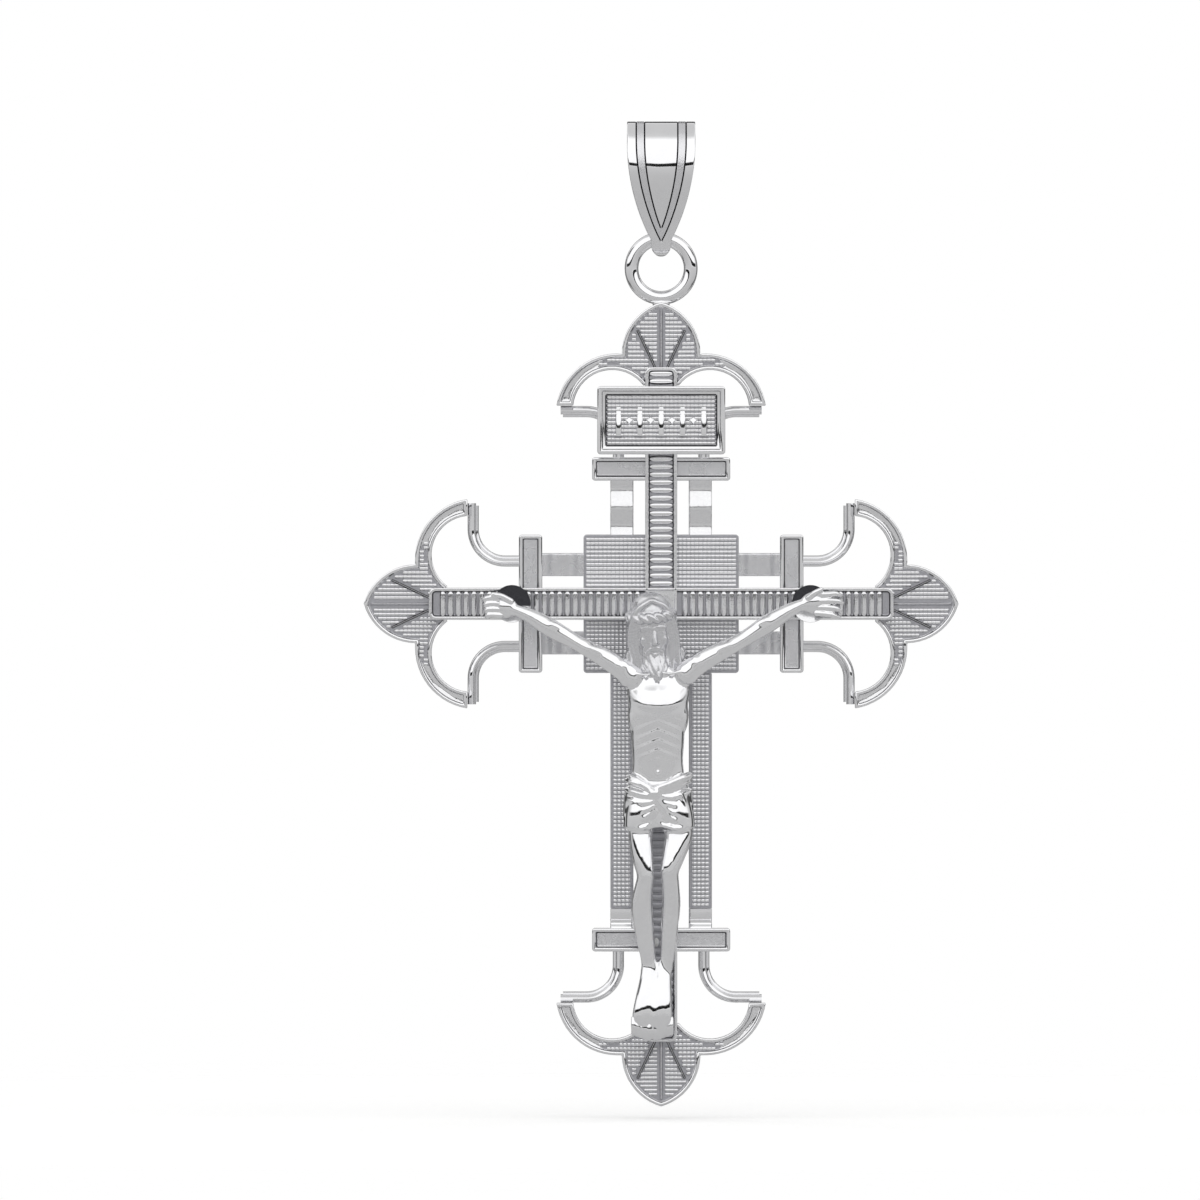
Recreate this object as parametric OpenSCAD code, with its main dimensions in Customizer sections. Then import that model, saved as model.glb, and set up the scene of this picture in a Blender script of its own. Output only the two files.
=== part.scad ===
// Crucifix pendant: a layered fleur-de-lis cross with a cast figure, a title plate, a jump ring and a tapered bail.
// Frame: origin at the centre of the bail's eye, +Z up, the front faces -Y. Millimetres.

/* [Bail] */
// Inner radius of the bail's eye, where the chain passes
eye_r = 1.2; // [1.0:0.05:1.4]
// Thickness of the bail's strap
strap_t = 0.4; // [0.3:0.02:0.45]
// Half of the bail's greatest width
bail_half_w = 1.6; // [1.4:0.05:1.8]
// Half of the bail's width where it wraps the ring
bail_foot_half_w = 0.45; // [0.35:0.01:0.48]
// Inner radius of the bail's foot, around the ring's wire
foot_r = 0.5; // [0.46:0.01:0.56]
// Height of the eye's centre above the centre of the bail's foot
eye_rise = 3.85; // [3.7:0.05:4.1]

/* [Jump ring] */
// Diameter of the ring's wire
wire_d = 0.65; // [0.55:0.01:0.68]
// Radius of the ring, to the middle of its wire
ring_r = 1.39; // [1.35:0.01:1.45]

/* [Cross] */
// Width of the ribbed beams
beam_w = 1.5; // [1.3:0.05:1.6]
// Spacing of the beams' ribs
rib_pitch = 0.37; // [0.34:0.01:0.5]
// Length of each end bar
bar_l = 6.48; // [6.2:0.02:6.8]
// Width of each end bar, along its arm
bar_w = 1.1; // [1.0:0.05:1.2]
// Distance from the crossing to a side bar's outer face
side_reach = 6.68; // [6.5:0.02:7]
// Distance from the crossing to the top bar's outer face
top_reach = 6.88; // [6.7:0.02:7]
// Distance from the crossing to the foot bar's outer face
foot_reach = 16.32; // [16:0.02:16.6]
// Width of the textured plate behind the crossing
plate_w = 7.28; // [7:0.02:7.4]
// Height of the textured plate behind the crossing
plate_h = 6.5; // [6.3:0.02:6.6]
// Distance from an arm's middle to the middle of its rails
rail_off = 1.84; // [1.8:0.01:1.9]
// Width of the rails
rail_w = 1.08; // [1:0.01:1.1]

/* [Title plate] */
// Width of the title plate
title_w = 6.0; // [5.6:0.1:6.4]
// Height of the title plate
title_h = 3.2; // [3:0.05:3.3]

/* [Hidden] */
$fn = 64;

// Depths, measured forwards from the flat back of the cross.
back_y = 0.55;
bridge_t = 0.6;
rail_pad_t = 0.85;
base_t = 1.0;
trough_t = 1.42;
beam_t = 1.6;
scroll_low = 0.1;
scroll_high = 0.8;
title_field_t = 1.95;
title_t = 2.3;
emblem_t = 2.2;
peg_t = 2.0;

// Places along the arms, measured outwards from the crossing.
cusp_out = 4.87;
beam_end_in = 0.65;
ring_bottom_sink = 0.12;
lobe_r = 2.55;
lobe_in = 0.7;
lobe_drop = 0.05;
lobe_tip = sqrt(lobe_r * lobe_r - lobe_in * lobe_in) - lobe_drop;
crossing_to_ring = top_reach + cusp_out + lobe_tip - ring_bottom_sink + ring_r + wire_d / 2;
crossing_to_pivot = crossing_to_ring + ring_r;
// The wire hangs this far below the middle of the bail's foot.
hang = 0.06;
crossing_to_eye = crossing_to_pivot + hang + eye_rise;
title_mid = 8.6;

rim = 0.22;
tip_cut = 2.45;
scroll_w = 0.54;
// How far pieces sink into each other where a union must not leave a seam.
eps = 0.01;
// How far a cutting tool stands clear of what it cuts.
clear = 1;
silver = "silver";
satin = "lightgray";

// ---------- helpers ----------
module at_crossing() translate([0, 0, -crossing_to_eye]) children();

// Turns a drawing made for the top arm onto another arm.
module on_arm(arm) {
  angle = arm == "right" ? 90 : arm == "left" ? -90 : arm == "foot" ? 180 : 0;
  rotate([0, angle, 0]) children();
}

// Extrudes an X-Z drawing forwards, from one depth to another.
module slab(from, to)
  translate([0, back_y - from, 0]) rotate([90, 0, 0]) linear_extrude(to - from) children();

module block(w, h) square([w, h], center = true);

function reach(arm) = arm == "top" ? top_reach : arm == "foot" ? foot_reach : side_reach;

// ---------- bail and ring ----------
// The strap lies across X: round over the eye, straight down both legs, round under the ring.
strap_l = 4;
module strap_prism() rotate([90, 0, 90]) translate([0, 0, -strap_l / 2]) linear_extrude(strap_l) children();

module strap_loop() {
  lean = asin((eye_r - foot_r) / eye_rise);
  n = [cos(lean), -sin(lean)];
  foot = [0, -eye_rise];
  // Past every edge of the strap, so that a wedge of this size takes in the whole bend.
  far = 4;
  intersection() {
    strap_bend(eye_r);
    strap_prism() polygon([[0, 0], far * n, [far, far], [-far, far], [-far * n[0], far * n[1]]]);
  }
  intersection() {
    translate([0, 0, foot[1]]) strap_bend(foot_r);
    strap_prism()
      polygon([foot, foot + far * n, [far, -3 * far], [-far, -3 * far], foot + [-far * n[0], far * n[1]]]);
  }
  for (side = [-1, 1]) strap_prism() polygon([
    [side * eye_r * n[0], eye_r * n[1]],
    [side * (eye_r + strap_t) * n[0], (eye_r + strap_t) * n[1]],
    [side * (foot_r + strap_t) * n[0], foot[1] + (foot_r + strap_t) * n[1]],
    [side * foot_r * n[0], foot[1] + foot_r * n[1]]
  ]);
}

module strap_bend(r) rotate([0, 90, 0]) difference() {
  cylinder(r = r + strap_t, h = strap_l, center = true);
  cylinder(r = r, h = strap_l + 2 * clear, center = true);
}

// The bail as seen from the front: a wide top whose sides curve in to a narrow foot.
module bail_front() {
  side_r = 9.92;
  shoulder = 0.6;
  steps = 10;
  low = -eye_rise - foot_r - 2 * strap_t;
  neck = -eye_rise - 0.1;
  heights = concat([low, neck], [for (i = [1 : steps]) neck + (shoulder - neck) * i / steps], [3]);
  function half_w(z) = max(bail_foot_half_w,
    bail_half_w - side_r + sqrt(side_r * side_r - pow(min(z, shoulder) - shoulder, 2)));
  polygon(concat(
    [for (z = heights) [z < neck + eps ? bail_foot_half_w : half_w(z), z]],
    [for (i = [len(heights) - 1 : -1 : 0])
      [heights[i] < neck + eps ? -bail_foot_half_w : -half_w(heights[i]), heights[i]]]
  ));
}

module bail() color(silver) intersection() {
  strap_loop();
  depth = 2 * (eye_r + strap_t + clear);
  translate([0, depth / 2, 0]) rotate([90, 0, 0]) linear_extrude(depth) bail_front();
}

module jump_ring() color(silver) at_crossing() difference() {
  translate([0, 0, crossing_to_ring]) rotate([90, 0, 0])
    rotate_extrude() translate([ring_r, 0]) circle(d = wire_d, $fn = 32);
  finial_solid("top");
}

// ---------- finials ----------
// A fleur-de-lis end: a pointed lobe and two curled petals. Its cusps lie on the X axis.
module finial_outline() {
  petal_r = 2.9;
  petal_x = 2.05;
  window_r = 1.83;
  window_x = 2.3;
  window_u = 2.6;
  neck = 1.5;
  difference() {
    union() {
      intersection() {
        translate([-lobe_in, -lobe_drop]) circle(r = lobe_r);
        translate([lobe_in, -lobe_drop]) circle(r = lobe_r);
        translate([-3, -1]) square([6, 5]);
      }
      intersection() {
        union() {
          for (side = [-1, 1]) translate([side * petal_x, -petal_r]) circle(r = petal_r);
          translate([-petal_x, -petal_r]) square([2 * petal_x, petal_r]);
        }
        translate([-6, -tip_cut]) square([12, tip_cut]);
      }
    }
    for (side = [-1, 1]) translate([side * window_x, -window_u]) circle(r = window_r);
    translate([-window_x, -neck - 2]) square([2 * window_x, 2]);
  }
}

module finial_solid(arm)
  on_arm(arm) slab(0, base_t) translate([0, reach(arm) + cusp_out]) finial_outline();

module finial(arm) color(satin) at_crossing() finial_solid(arm);

// ---------- scrolls: the wires from each bar out to a petal's tip ----------
module scroll(arm, side) color(silver) at_crossing() on_arm(arm) slab(scroll_low, scroll_high) {
  half = scroll_w / 2;
  bend_r = 1.5;
  // The wire runs a little outside the middle of the rail or bridge that it meets.
  run_v = rail_off + 0.16;
  bend_u = reach(arm) + cusp_out - tip_cut - half - bend_r;
  tip_v = 4.9;
  mirror([side < 0 ? 1 : 0, 0]) {
    translate([run_v - half, reach(arm)]) square([2 * half, bend_u - reach(arm)]);
    translate([run_v + bend_r, bend_u]) intersection() {
      difference() {
        circle(r = bend_r + half);
        circle(r = bend_r - half);
      }
      translate([-3, 0]) square(3);
    }
    translate([run_v + bend_r, bend_u + bend_r - half]) square([tip_v - run_v - bend_r, 2 * half]);
  }
}

// ---------- bars ----------
// How deep the channel along a bar's face is.
channel = 0.2;

module bar(arm) color(silver) at_crossing() on_arm(arm)
  translate([0, 0, reach(arm) - bar_w / 2]) difference() {
    slab(0, base_t) block(bar_l, bar_w);
    for (side = [-1, 1]) slab(base_t - channel, base_t + clear)
      translate([side * (bar_l / 4 + beam_w / 4), 0])
        block(bar_l / 2 - beam_w / 2 - 2 * rim, bar_w - 2 * rim);
  }

// ---------- rails and bridges ----------
plate_edge = function(arm) arm == "left" || arm == "right" ? plate_w / 2 : plate_h / 2;

// A short arched strap between the plate and a bar.
module bridge(arm, side) color(silver) at_crossing() on_arm(arm) slab(0, bridge_t)
  translate([side * rail_off - rail_w / 2, plate_edge(arm)])
    square([rail_w, reach(arm) - bar_w - plate_edge(arm)]);

// The foot arm's long rails carry a textured pad that stops short of the bar.
module foot_rail(side) color(satin) at_crossing() on_arm("foot") {
  pad_gap = 0.9;
  long = foot_reach - bar_w - plate_h / 2;
  slab(0, bridge_t) translate([side * rail_off - rail_w / 2, plate_h / 2]) square([rail_w, long]);
  slab(bridge_t - eps, rail_pad_t) translate([side * rail_off - rail_w / 2, plate_h / 2])
    square([rail_w, long - pad_gap]);
}

module centre_plate() color(satin) at_crossing() slab(0, base_t) block(plate_w, plate_h);

// ---------- ribbed beams ----------
// A strip from one end to the other along Z, with cut corners and a trough of cross ribs.
module ribbed_strip(low, high, gaps) {
  edge = 0.15;
  corner = 0.3;
  groove = rib_pitch / 2;
  difference() {
    slab(base_t, beam_t) {
      translate([-beam_w / 2, low + corner]) square([beam_w, high - low - 2 * corner]);
      translate([-beam_w / 2 + corner, low]) square([beam_w - 2 * corner, high - low]);
    }
    for (gap = gaps, i = [0 : floor((gap[1] - gap[0]) / rib_pitch) - 1])
      slab(trough_t, beam_t + clear)
        translate([-beam_w / 2 + edge, gap[0] + i * rib_pitch + groove / 2])
          square([beam_w - 2 * edge, groove]);
  }
}

// The two beams are halved into each other at the crossing, a little below the beams' middle.
lap_t = 1.25;
// Plain metal between a beam's end and its first rib.
end_land = 0.35;
strip_tip = 0.1;

module upright_beam() color(satin) at_crossing() difference() {
  high = top_reach + cusp_out - beam_end_in;
  low = -foot_reach - cusp_out + beam_end_in;
  ribbed_strip(low, high, [
    [low + end_land, -beam_w / 2], [beam_w / 2, title_mid - title_h / 2],
    [title_mid + title_h / 2, high - strip_tip]
  ]);
  slab(lap_t, beam_t + clear) block(beam_w + clear, beam_w);
}

module cross_beam() color(satin) at_crossing() difference() {
  end = side_reach + cusp_out - beam_end_in;
  rotate([0, 90, 0]) ribbed_strip(-end, end, [[-end + end_land, -beam_w / 2], [beam_w / 2, end - end_land]]);
  slab(0, lap_t) block(beam_w, beam_w + clear);
}

// ---------- title plate ----------
title_border = 0.3;

module title_plate() color(satin) at_crossing() translate([0, 0, title_mid]) difference() {
  slab(beam_t, title_t) block(title_w, title_h);
  slab(title_field_t, title_t + clear) block(title_w - 2 * title_border, title_h - 2 * title_border);
}

// A plain ornament in the place of an inscription: upright strokes between lozenges.
module title_emblem() color(silver) at_crossing() translate([0, 0, title_mid])
  slab(title_field_t, emblem_t) {
    pitch = 1;
    stroke = [0.2, 1.5];
    lozenge = 0.42;
    for (i = [-2 : 2]) translate([i * pitch, 0]) block(stroke[0], stroke[1]);
    for (i = [-1.5 : 1.5]) translate([i * pitch, 0]) rotate(45) block(lozenge, lozenge);
  }

// ---------- figure ----------
peg_x = 7.0;
peg_r = 0.88;
foot_peg_r = 0.35;
foot_peg_at = [-0.25, -18.7];
foot_peg_end = 2.6;
peg_fit = 0.02;

module hand_peg(side) color(silver) at_crossing()
  translate([side * peg_x, back_y - beam_t, 0]) rotate([90, 0, 0]) cylinder(r = peg_r, h = peg_t - beam_t);

module foot_peg() color(silver) at_crossing()
  translate([foot_peg_at[0], back_y - beam_t, foot_peg_at[1]]) rotate([90, 0, 0])
    cylinder(r = foot_peg_r, h = foot_peg_end - beam_t);

// A ball at x, depth and z, and a tapered limb between two of them.
module ball(p, r) translate([p[0], back_y - p[1], p[2]]) sphere(r = r, $fn = 18);
module limb(p, rp, q, rq) hull() { ball(p, rp); ball(q, rq); }

// Joints of the body, each as [x, depth, z]. The legs lean a little to the left.
mid_x = -0.15;
function crown() = [-0.5, 2.75, -1.15];
function chin() = [-0.38, 3.0, -2.75];
function neck() = [mid_x, 2.6, -3.7];
function shoulder(side) = [mid_x + side * 1.3, 2.6, -3.85];
function elbow(side) = [side * 4.3, 2.45, -1.85];
function wrist(side) = [side * 6.95, 2.2, -0.15];
function fingertip(side) = [side * 8.05, 2.2, 0.15];
function chest(side) = [mid_x + side * 0.6, 2.8, -4.85];
function waist(side) = [mid_x + side * 0.42, 2.6, -7.6];
function hip(side) = [mid_x + side * 0.8, 2.75, -9.4];
function hem(side) = [mid_x + side * 0.8, 2.95, -10.2];
function knee(side) = [mid_x + side * 0.78, 3.4, -12.7];
function ankle(side) = [mid_x + side * 0.4 - 0.1, 2.7, -17.0];
function toes(side) = [mid_x + side * 0.3 - 0.2, 3.1, -20.0];

module figure() {
  limb(crown(), 1.05, chin(), 0.72);
  limb(chin(), 0.6, neck(), 0.6);
  limb(shoulder(-1), 0.62, shoulder(1), 0.62);
  hull() for (side = [-1, 1]) {
    ball(chest(side), 0.98);
    ball(waist(side), 0.74);
  }
  hull() for (side = [-1, 1]) {
    ball(waist(side), 0.74);
    ball(hip(side), 0.95);
    ball(hem(side), 0.85);
  }
  for (side = [-1, 1]) {
    limb(shoulder(side), 0.55, elbow(side), 0.36);
    limb(elbow(side), 0.36, wrist(side), 0.27);
    limb(wrist(side), 0.3, fingertip(side), 0.24);
    limb(hip(side), 0.8, knee(side), 0.46);
    limb(knee(side), 0.46, ankle(side), 0.3);
    limb(ankle(side), 0.34, toes(side), 0.42);
  }
}

module corpus() color(silver) at_crossing() difference() {
  figure();
  translate([-12, back_y - beam_t, -24]) cube([24, 4, 30]);
  for (side = [-1, 1]) translate([side * peg_x, 0, 0]) rotate([90, 0, 0])
    cylinder(r = peg_r + peg_fit, h = peg_t - back_y);
  translate([foot_peg_at[0], 0, foot_peg_at[1]]) rotate([90, 0, 0])
    cylinder(r = foot_peg_r + peg_fit, h = foot_peg_end - back_y);
}

bail();
jump_ring();
finial("top");  // top_finial
finial("left");  // left_finial
finial("right");  // right_finial
finial("foot");  // foot_finial
scroll("top", -1);  // top_left_scroll
scroll("top", 1);  // top_right_scroll
scroll("left", 1);  // left_upper_scroll
scroll("left", -1);  // left_lower_scroll
scroll("right", -1);  // right_upper_scroll
scroll("right", 1);  // right_lower_scroll
scroll("foot", 1);  // foot_left_scroll
scroll("foot", -1);  // foot_right_scroll
bar("top");  // top_bar
bar("left");  // left_bar
bar("right");  // right_bar
bar("foot");  // foot_bar
bridge("top", -1);  // top_left_bridge
bridge("top", 1);  // top_right_bridge
bridge("left", 1);  // left_upper_bridge
bridge("left", -1);  // left_lower_bridge
bridge("right", -1);  // right_upper_bridge
bridge("right", 1);  // right_lower_bridge
foot_rail(1);  // foot_left_rail
foot_rail(-1);  // foot_right_rail
centre_plate();
upright_beam();
cross_beam();
title_plate();
title_emblem();
hand_peg(-1);  // left_hand_peg
hand_peg(1);  // right_hand_peg
foot_peg();
corpus();
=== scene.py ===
import math

import bmesh
import bpy
import numpy as np
from mathutils import Matrix, Vector


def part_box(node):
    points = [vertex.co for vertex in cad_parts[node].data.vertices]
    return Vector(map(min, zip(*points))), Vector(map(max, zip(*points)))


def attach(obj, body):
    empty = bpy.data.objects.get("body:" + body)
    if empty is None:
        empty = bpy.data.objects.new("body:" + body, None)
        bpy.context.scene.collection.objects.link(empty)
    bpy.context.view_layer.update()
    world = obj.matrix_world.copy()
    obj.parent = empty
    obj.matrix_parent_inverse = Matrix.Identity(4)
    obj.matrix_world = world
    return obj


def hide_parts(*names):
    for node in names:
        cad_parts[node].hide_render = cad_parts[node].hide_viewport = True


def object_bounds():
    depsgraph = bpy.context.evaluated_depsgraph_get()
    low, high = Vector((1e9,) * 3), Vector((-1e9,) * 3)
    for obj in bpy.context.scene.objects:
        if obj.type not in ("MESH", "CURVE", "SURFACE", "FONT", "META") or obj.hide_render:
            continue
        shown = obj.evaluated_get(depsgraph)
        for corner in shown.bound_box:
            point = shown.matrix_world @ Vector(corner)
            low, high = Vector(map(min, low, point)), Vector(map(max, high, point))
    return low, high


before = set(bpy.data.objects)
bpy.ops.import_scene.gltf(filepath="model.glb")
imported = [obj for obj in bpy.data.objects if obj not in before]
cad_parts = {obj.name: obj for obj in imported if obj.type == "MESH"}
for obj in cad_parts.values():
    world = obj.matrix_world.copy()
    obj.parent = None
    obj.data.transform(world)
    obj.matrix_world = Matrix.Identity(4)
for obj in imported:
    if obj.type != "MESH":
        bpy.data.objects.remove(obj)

cad_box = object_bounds()


# ---------------------------------------------------------------- studio
# The pendant hangs just above a plain pale floor that fades out with distance.
# The light is a soft white sky above a thin dark gap and a grey front, as in a jeweller's light tent.

MM = 0.001
# The camera looks straight at the front: how much it sees, from how far, and where its middle is.
VIEW_WIDTH = 56.34 * MM
VIEW_DISTANCE = 0.8
VIEW_LEFT = -2.87 * MM
VIEW_MIDDLE_BELOW_EYE = 20.87 * MM
SENSOR = 36.0

bpy.ops.object.select_all(action="DESELECT")
bpy.ops.object.camera_add(
    location=(VIEW_LEFT, -VIEW_DISTANCE, -VIEW_MIDDLE_BELOW_EYE),
    rotation=(math.radians(90), 0, 0),
)
camera = bpy.context.object
camera.data.sensor_width = SENSOR
camera.data.lens = SENSOR * VIEW_DISTANCE / VIEW_WIDTH
camera.data.clip_start = 0.01
camera.data.clip_end = 20
bpy.context.scene.camera = camera
bpy.context.scene.view_settings.view_transform = "Standard"


def add(tree, kind, settings=None, links=None):
    """Add a node, set its sockets (by name or number) and properties, and feed its inputs."""
    node = tree.nodes.new(kind)
    for name, value in (settings or {}).items():
        if isinstance(name, int) or name in node.inputs:
            node.inputs[name].default_value = value
        else:
            setattr(node, name, value)
    for name, output in (links or {}).items():
        tree.links.new(output, node.inputs[name])
    return node


def blank_tree(owner):
    """Give a material or a world an empty node tree."""
    owner.use_nodes = True
    owner.node_tree.nodes.clear()
    return owner.node_tree


def shade(hex_code):
    """Turn an sRGB hex colour into the linear colour that a socket takes."""
    values = [int(hex_code[i:i + 2], 16) / 255 for i in (1, 3, 5)]
    linear = [v / 12.92 if v <= 0.04045 else ((v + 0.055) / 1.055) ** 2.4 for v in values]
    return (*linear, 1.0)


def fill_ramp(node, stops):
    """Give a colour ramp its stops, each a place and a grey level."""
    ramp = node.color_ramp
    while len(ramp.elements) > 1:
        ramp.elements.remove(ramp.elements[-1])
    ramp.elements[0].position = stops[0][0]
    ramp.elements[0].color = (stops[0][1],) * 3 + (1,)
    for place, level in stops[1:]:
        ramp.elements.new(place).color = (level,) * 3 + (1,)


# The colour sockets of a mix node, which shares its names with its number sockets.
MIX_FIRST, MIX_SECOND, MIX_RESULT = 6, 7, 2


def light_sky():
    """The light tent: a white panel in front and above, a black gap under it, grey walls elsewhere.

    Places on the height ramps run from straight down, 0, through level, 0.5, to straight up, 1.
    The camera itself sees plain white.
    """
    world = bpy.data.worlds.new("light_tent")
    bpy.context.scene.world = world
    tree = blank_tree(world)
    direction = add(tree, "ShaderNodeTexCoord")
    parts = add(tree, "ShaderNodeSeparateXYZ", links={"Vector": direction.outputs["Generated"]})
    height = add(tree, "ShaderNodeMapRange", {"From Min": -1.0, "From Max": 1.0},
                 {"Value": parts.outputs["Z"]})
    front = add(tree, "ShaderNodeValToRGB", links={"Fac": height.outputs["Result"]})
    fill_ramp(front, [
        (0.0, 0.46), (0.40, 0.56), (0.521, 0.64), (0.524, 0.95), (0.527, 0.95), (0.530, 0.01),
        (0.574, 0.01), (0.580, 1.15), (0.93, 1.2), (0.97, 0.72), (1.0, 0.66),
    ])
    behind = add(tree, "ShaderNodeValToRGB", links={"Fac": height.outputs["Result"]})
    fill_ramp(behind, [
        (0.0, 0.46), (0.5, 0.60), (0.60, 0.60), (0.66, 0.95), (0.80, 0.95), (0.9, 0.66), (1.0, 0.66),
    ])
    turned = add(tree, "ShaderNodeMapRange", {"From Min": -0.2, "From Max": 0.2},
                 {"Value": parts.outputs["Y"]})
    walls = add(tree, "ShaderNodeMix", {"data_type": "RGBA"},
                {"Factor": turned.outputs["Result"], MIX_FIRST: front.outputs["Color"],
                 MIX_SECOND: behind.outputs["Color"]})
    # Dark gaps stand between the panels behind on either side, and one rings the back wall.
    aside = add(tree, "ShaderNodeMath", {"operation": "ABSOLUTE"}, {0: parts.outputs["X"]})
    gaps = add(tree, "ShaderNodeValToRGB", links={"Fac": aside.outputs[0]})
    fill_ramp(gaps, [(0.0, 1.0), (0.74, 1.0), (0.78, 0.12), (0.90, 0.12), (0.94, 0.95), (1.0, 1.0)])
    seams = add(tree, "ShaderNodeValToRGB", links={"Fac": parts.outputs["Y"]})
    fill_ramp(seams, [(0.0, 1.0), (0.74, 1.0), (0.79, 0.06), (0.93, 0.06), (0.965, 1.0), (1.0, 1.0)])
    side_gaps = add(tree, "ShaderNodeMath", {"operation": "POWER"},
                    {0: gaps.outputs["Color"], 1: turned.outputs["Result"]})
    joined = add(tree, "ShaderNodeMath", {"operation": "MULTIPLY"},
                 {0: side_gaps.outputs[0], 1: seams.outputs["Color"]})
    ray = add(tree, "ShaderNodeLightPath")
    tent = add(tree, "ShaderNodeBackground",
               links={"Color": walls.outputs[MIX_RESULT], "Strength": joined.outputs[0]})
    paper = add(tree, "ShaderNodeBackground", {"Color": (1, 1, 1, 1), "Strength": 1.0})
    both = add(tree, "ShaderNodeMixShader", links={0: ray.outputs["Is Camera Ray"]})
    tree.links.new(tent.outputs[0], both.inputs[1])
    tree.links.new(paper.outputs[0], both.inputs[2])
    add(tree, "ShaderNodeOutputWorld", links={"Surface": both.outputs[0]})


light_sky()

FLOOR_GAP = 0.6 * MM
FLOOR_RADIUS = 0.11
FLOOR_FADE_FROM = 0.012


def floor_paper():
    """Matt white paper that grows clear towards its edge and looks greyer in the metal."""
    material = bpy.data.materials.new("matt_paper_floor")
    tree = blank_tree(material)
    place = add(tree, "ShaderNodeTexCoord")
    distance = add(tree, "ShaderNodeVectorMath", {"operation": "LENGTH"})
    tree.links.new(place.outputs["Object"], distance.inputs[0])
    fade = add(tree, "ShaderNodeMapRange",
               {"From Min": FLOOR_FADE_FROM, "From Max": FLOOR_RADIUS * 0.95,
                "interpolation_type": "SMOOTHSTEP"},
               {"Value": distance.outputs["Value"]})
    fibre = add(tree, "ShaderNodeTexNoise", {"Scale": 2500.0, "Detail": 4.0},
                {"Vector": place.outputs["Object"]})
    tint = add(tree, "ShaderNodeMix",
               {"data_type": "RGBA", MIX_FIRST: shade("#F7F7F6"), MIX_SECOND: shade("#FCFCFC")},
               {"Factor": fibre.outputs["Fac"]})
    paper = add(tree, "ShaderNodeBsdfPrincipled",
                {"Roughness": 0.9, "Specular IOR Level": 0.1, "Emission Color": shade("#FFFFFF"),
                 "Emission Strength": 0.25},
                {"Base Color": tint.outputs[MIX_RESULT]})
    shaded = add(tree, "ShaderNodeBsdfDiffuse", {"Color": shade("#D6D6D6")})
    ray = add(tree, "ShaderNodeLightPath")
    seen = add(tree, "ShaderNodeMixShader", links={0: ray.outputs["Is Camera Ray"]})
    tree.links.new(shaded.outputs[0], seen.inputs[1])
    tree.links.new(paper.outputs[0], seen.inputs[2])
    clear = add(tree, "ShaderNodeBsdfTransparent")
    both = add(tree, "ShaderNodeMixShader", links={0: fade.outputs["Result"]})
    tree.links.new(seen.outputs[0], both.inputs[1])
    tree.links.new(clear.outputs[0], both.inputs[2])
    add(tree, "ShaderNodeOutputMaterial", links={"Surface": both.outputs[0]})
    return material


bpy.ops.mesh.primitive_circle_add(vertices=96, radius=FLOOR_RADIUS, fill_type="NGON")
floor = bpy.context.object
floor.name = "floor"
floor.location.z = cad_box[0][2] - FLOOR_GAP
floor.data.materials.append(floor_paper())


# ---------------------------------------------------------------- metal finishes
# The whole pendant is one rhodium-white precious metal. Only its surface changes from place to place:
# mirror-polished on raised parts, sand-blasted in recesses. Painted shade darkens the ground between beads,
# the walls under rims, the cut lines and the pegs, where shade falls.

def metal(name, tint, worn, roughness, grit_mm, grit_depth_mm, wave_mm=1.1, wave_depth_mm=0.0):
    """A white metal with a fine grit, and long faint waves where a buffing wheel has run."""
    material = bpy.data.materials.new(name)
    tree = blank_tree(material)
    place = add(tree, "ShaderNodeTexCoord")
    grit = add(tree, "ShaderNodeTexNoise",
               {"Scale": 1 / (grit_mm * MM), "Detail": 3.0, "Roughness": 0.6},
               {"Vector": place.outputs["Object"]})
    wave = add(tree, "ShaderNodeTexNoise", {"Scale": 1 / (wave_mm * MM), "Detail": 1.0},
               {"Vector": place.outputs["Object"]})
    gloss = add(tree, "ShaderNodeMapRange",
                {"From Min": 0.3, "From Max": 0.7, "To Min": roughness[0], "To Max": roughness[1]},
                {"Value": wave.outputs["Fac"]})
    colour = add(tree, "ShaderNodeMix",
                 {"data_type": "RGBA", MIX_FIRST: shade(tint), MIX_SECOND: shade(worn)},
                 {"Factor": grit.outputs["Fac"]})
    buffed = add(tree, "ShaderNodeBump", {"Strength": 1.0, "Distance": wave_depth_mm * MM},
                 {"Height": wave.outputs["Fac"]})
    bump = add(tree, "ShaderNodeBump", {"Strength": 1.0, "Distance": grit_depth_mm * MM},
               {"Height": grit.outputs["Fac"], "Normal": buffed.outputs["Normal"]})
    surface = add(tree, "ShaderNodeBsdfPrincipled", {"Metallic": 1.0},
                  {"Base Color": colour.outputs[MIX_RESULT], "Roughness": gloss.outputs["Result"],
                   "Normal": bump.outputs["Normal"]})
    add(tree, "ShaderNodeOutputMaterial", links={"Surface": surface.outputs[0]})
    return material


# Hand-polished rhodium plate: a near mirror with faint waves left by the buffing wheel.
polished = metal("polished_rhodium", "#F3F3F4", "#E9E9EB", (0.04, 0.09), 0.5, 0.0008, 1.3, 0.016)
# Sand-blasted rhodium plate: a soft even sheen over a fine grit.
satin = metal("sandblasted_rhodium", "#EAEAEC", "#D6D6D9", (0.22, 0.34), 0.06, 0.009)
# Struck rhodium plate: bright on the tops of the beads and ribs, less even than a polished face.
struck = metal("struck_rhodium", "#F1F1F2", "#E2E2E4", (0.10, 0.18), 0.12, 0.003, 0.5, 0.006)
# The ground between beads and ribs: matt, and painted darker with the shade that falls between them.
shaded_ground = metal("matt_rhodium_painted_shade", "#CCCCD0", "#9A9AA0", (0.30, 0.45), 0.05, 0.008)
# Tumbled rhodium plate on the fine modelling of hair and face, where the buff only skims.
tumbled = metal("tumbled_rhodium", "#E4E4E6", "#D0D0D3", (0.20, 0.30), 0.10, 0.002)
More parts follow.
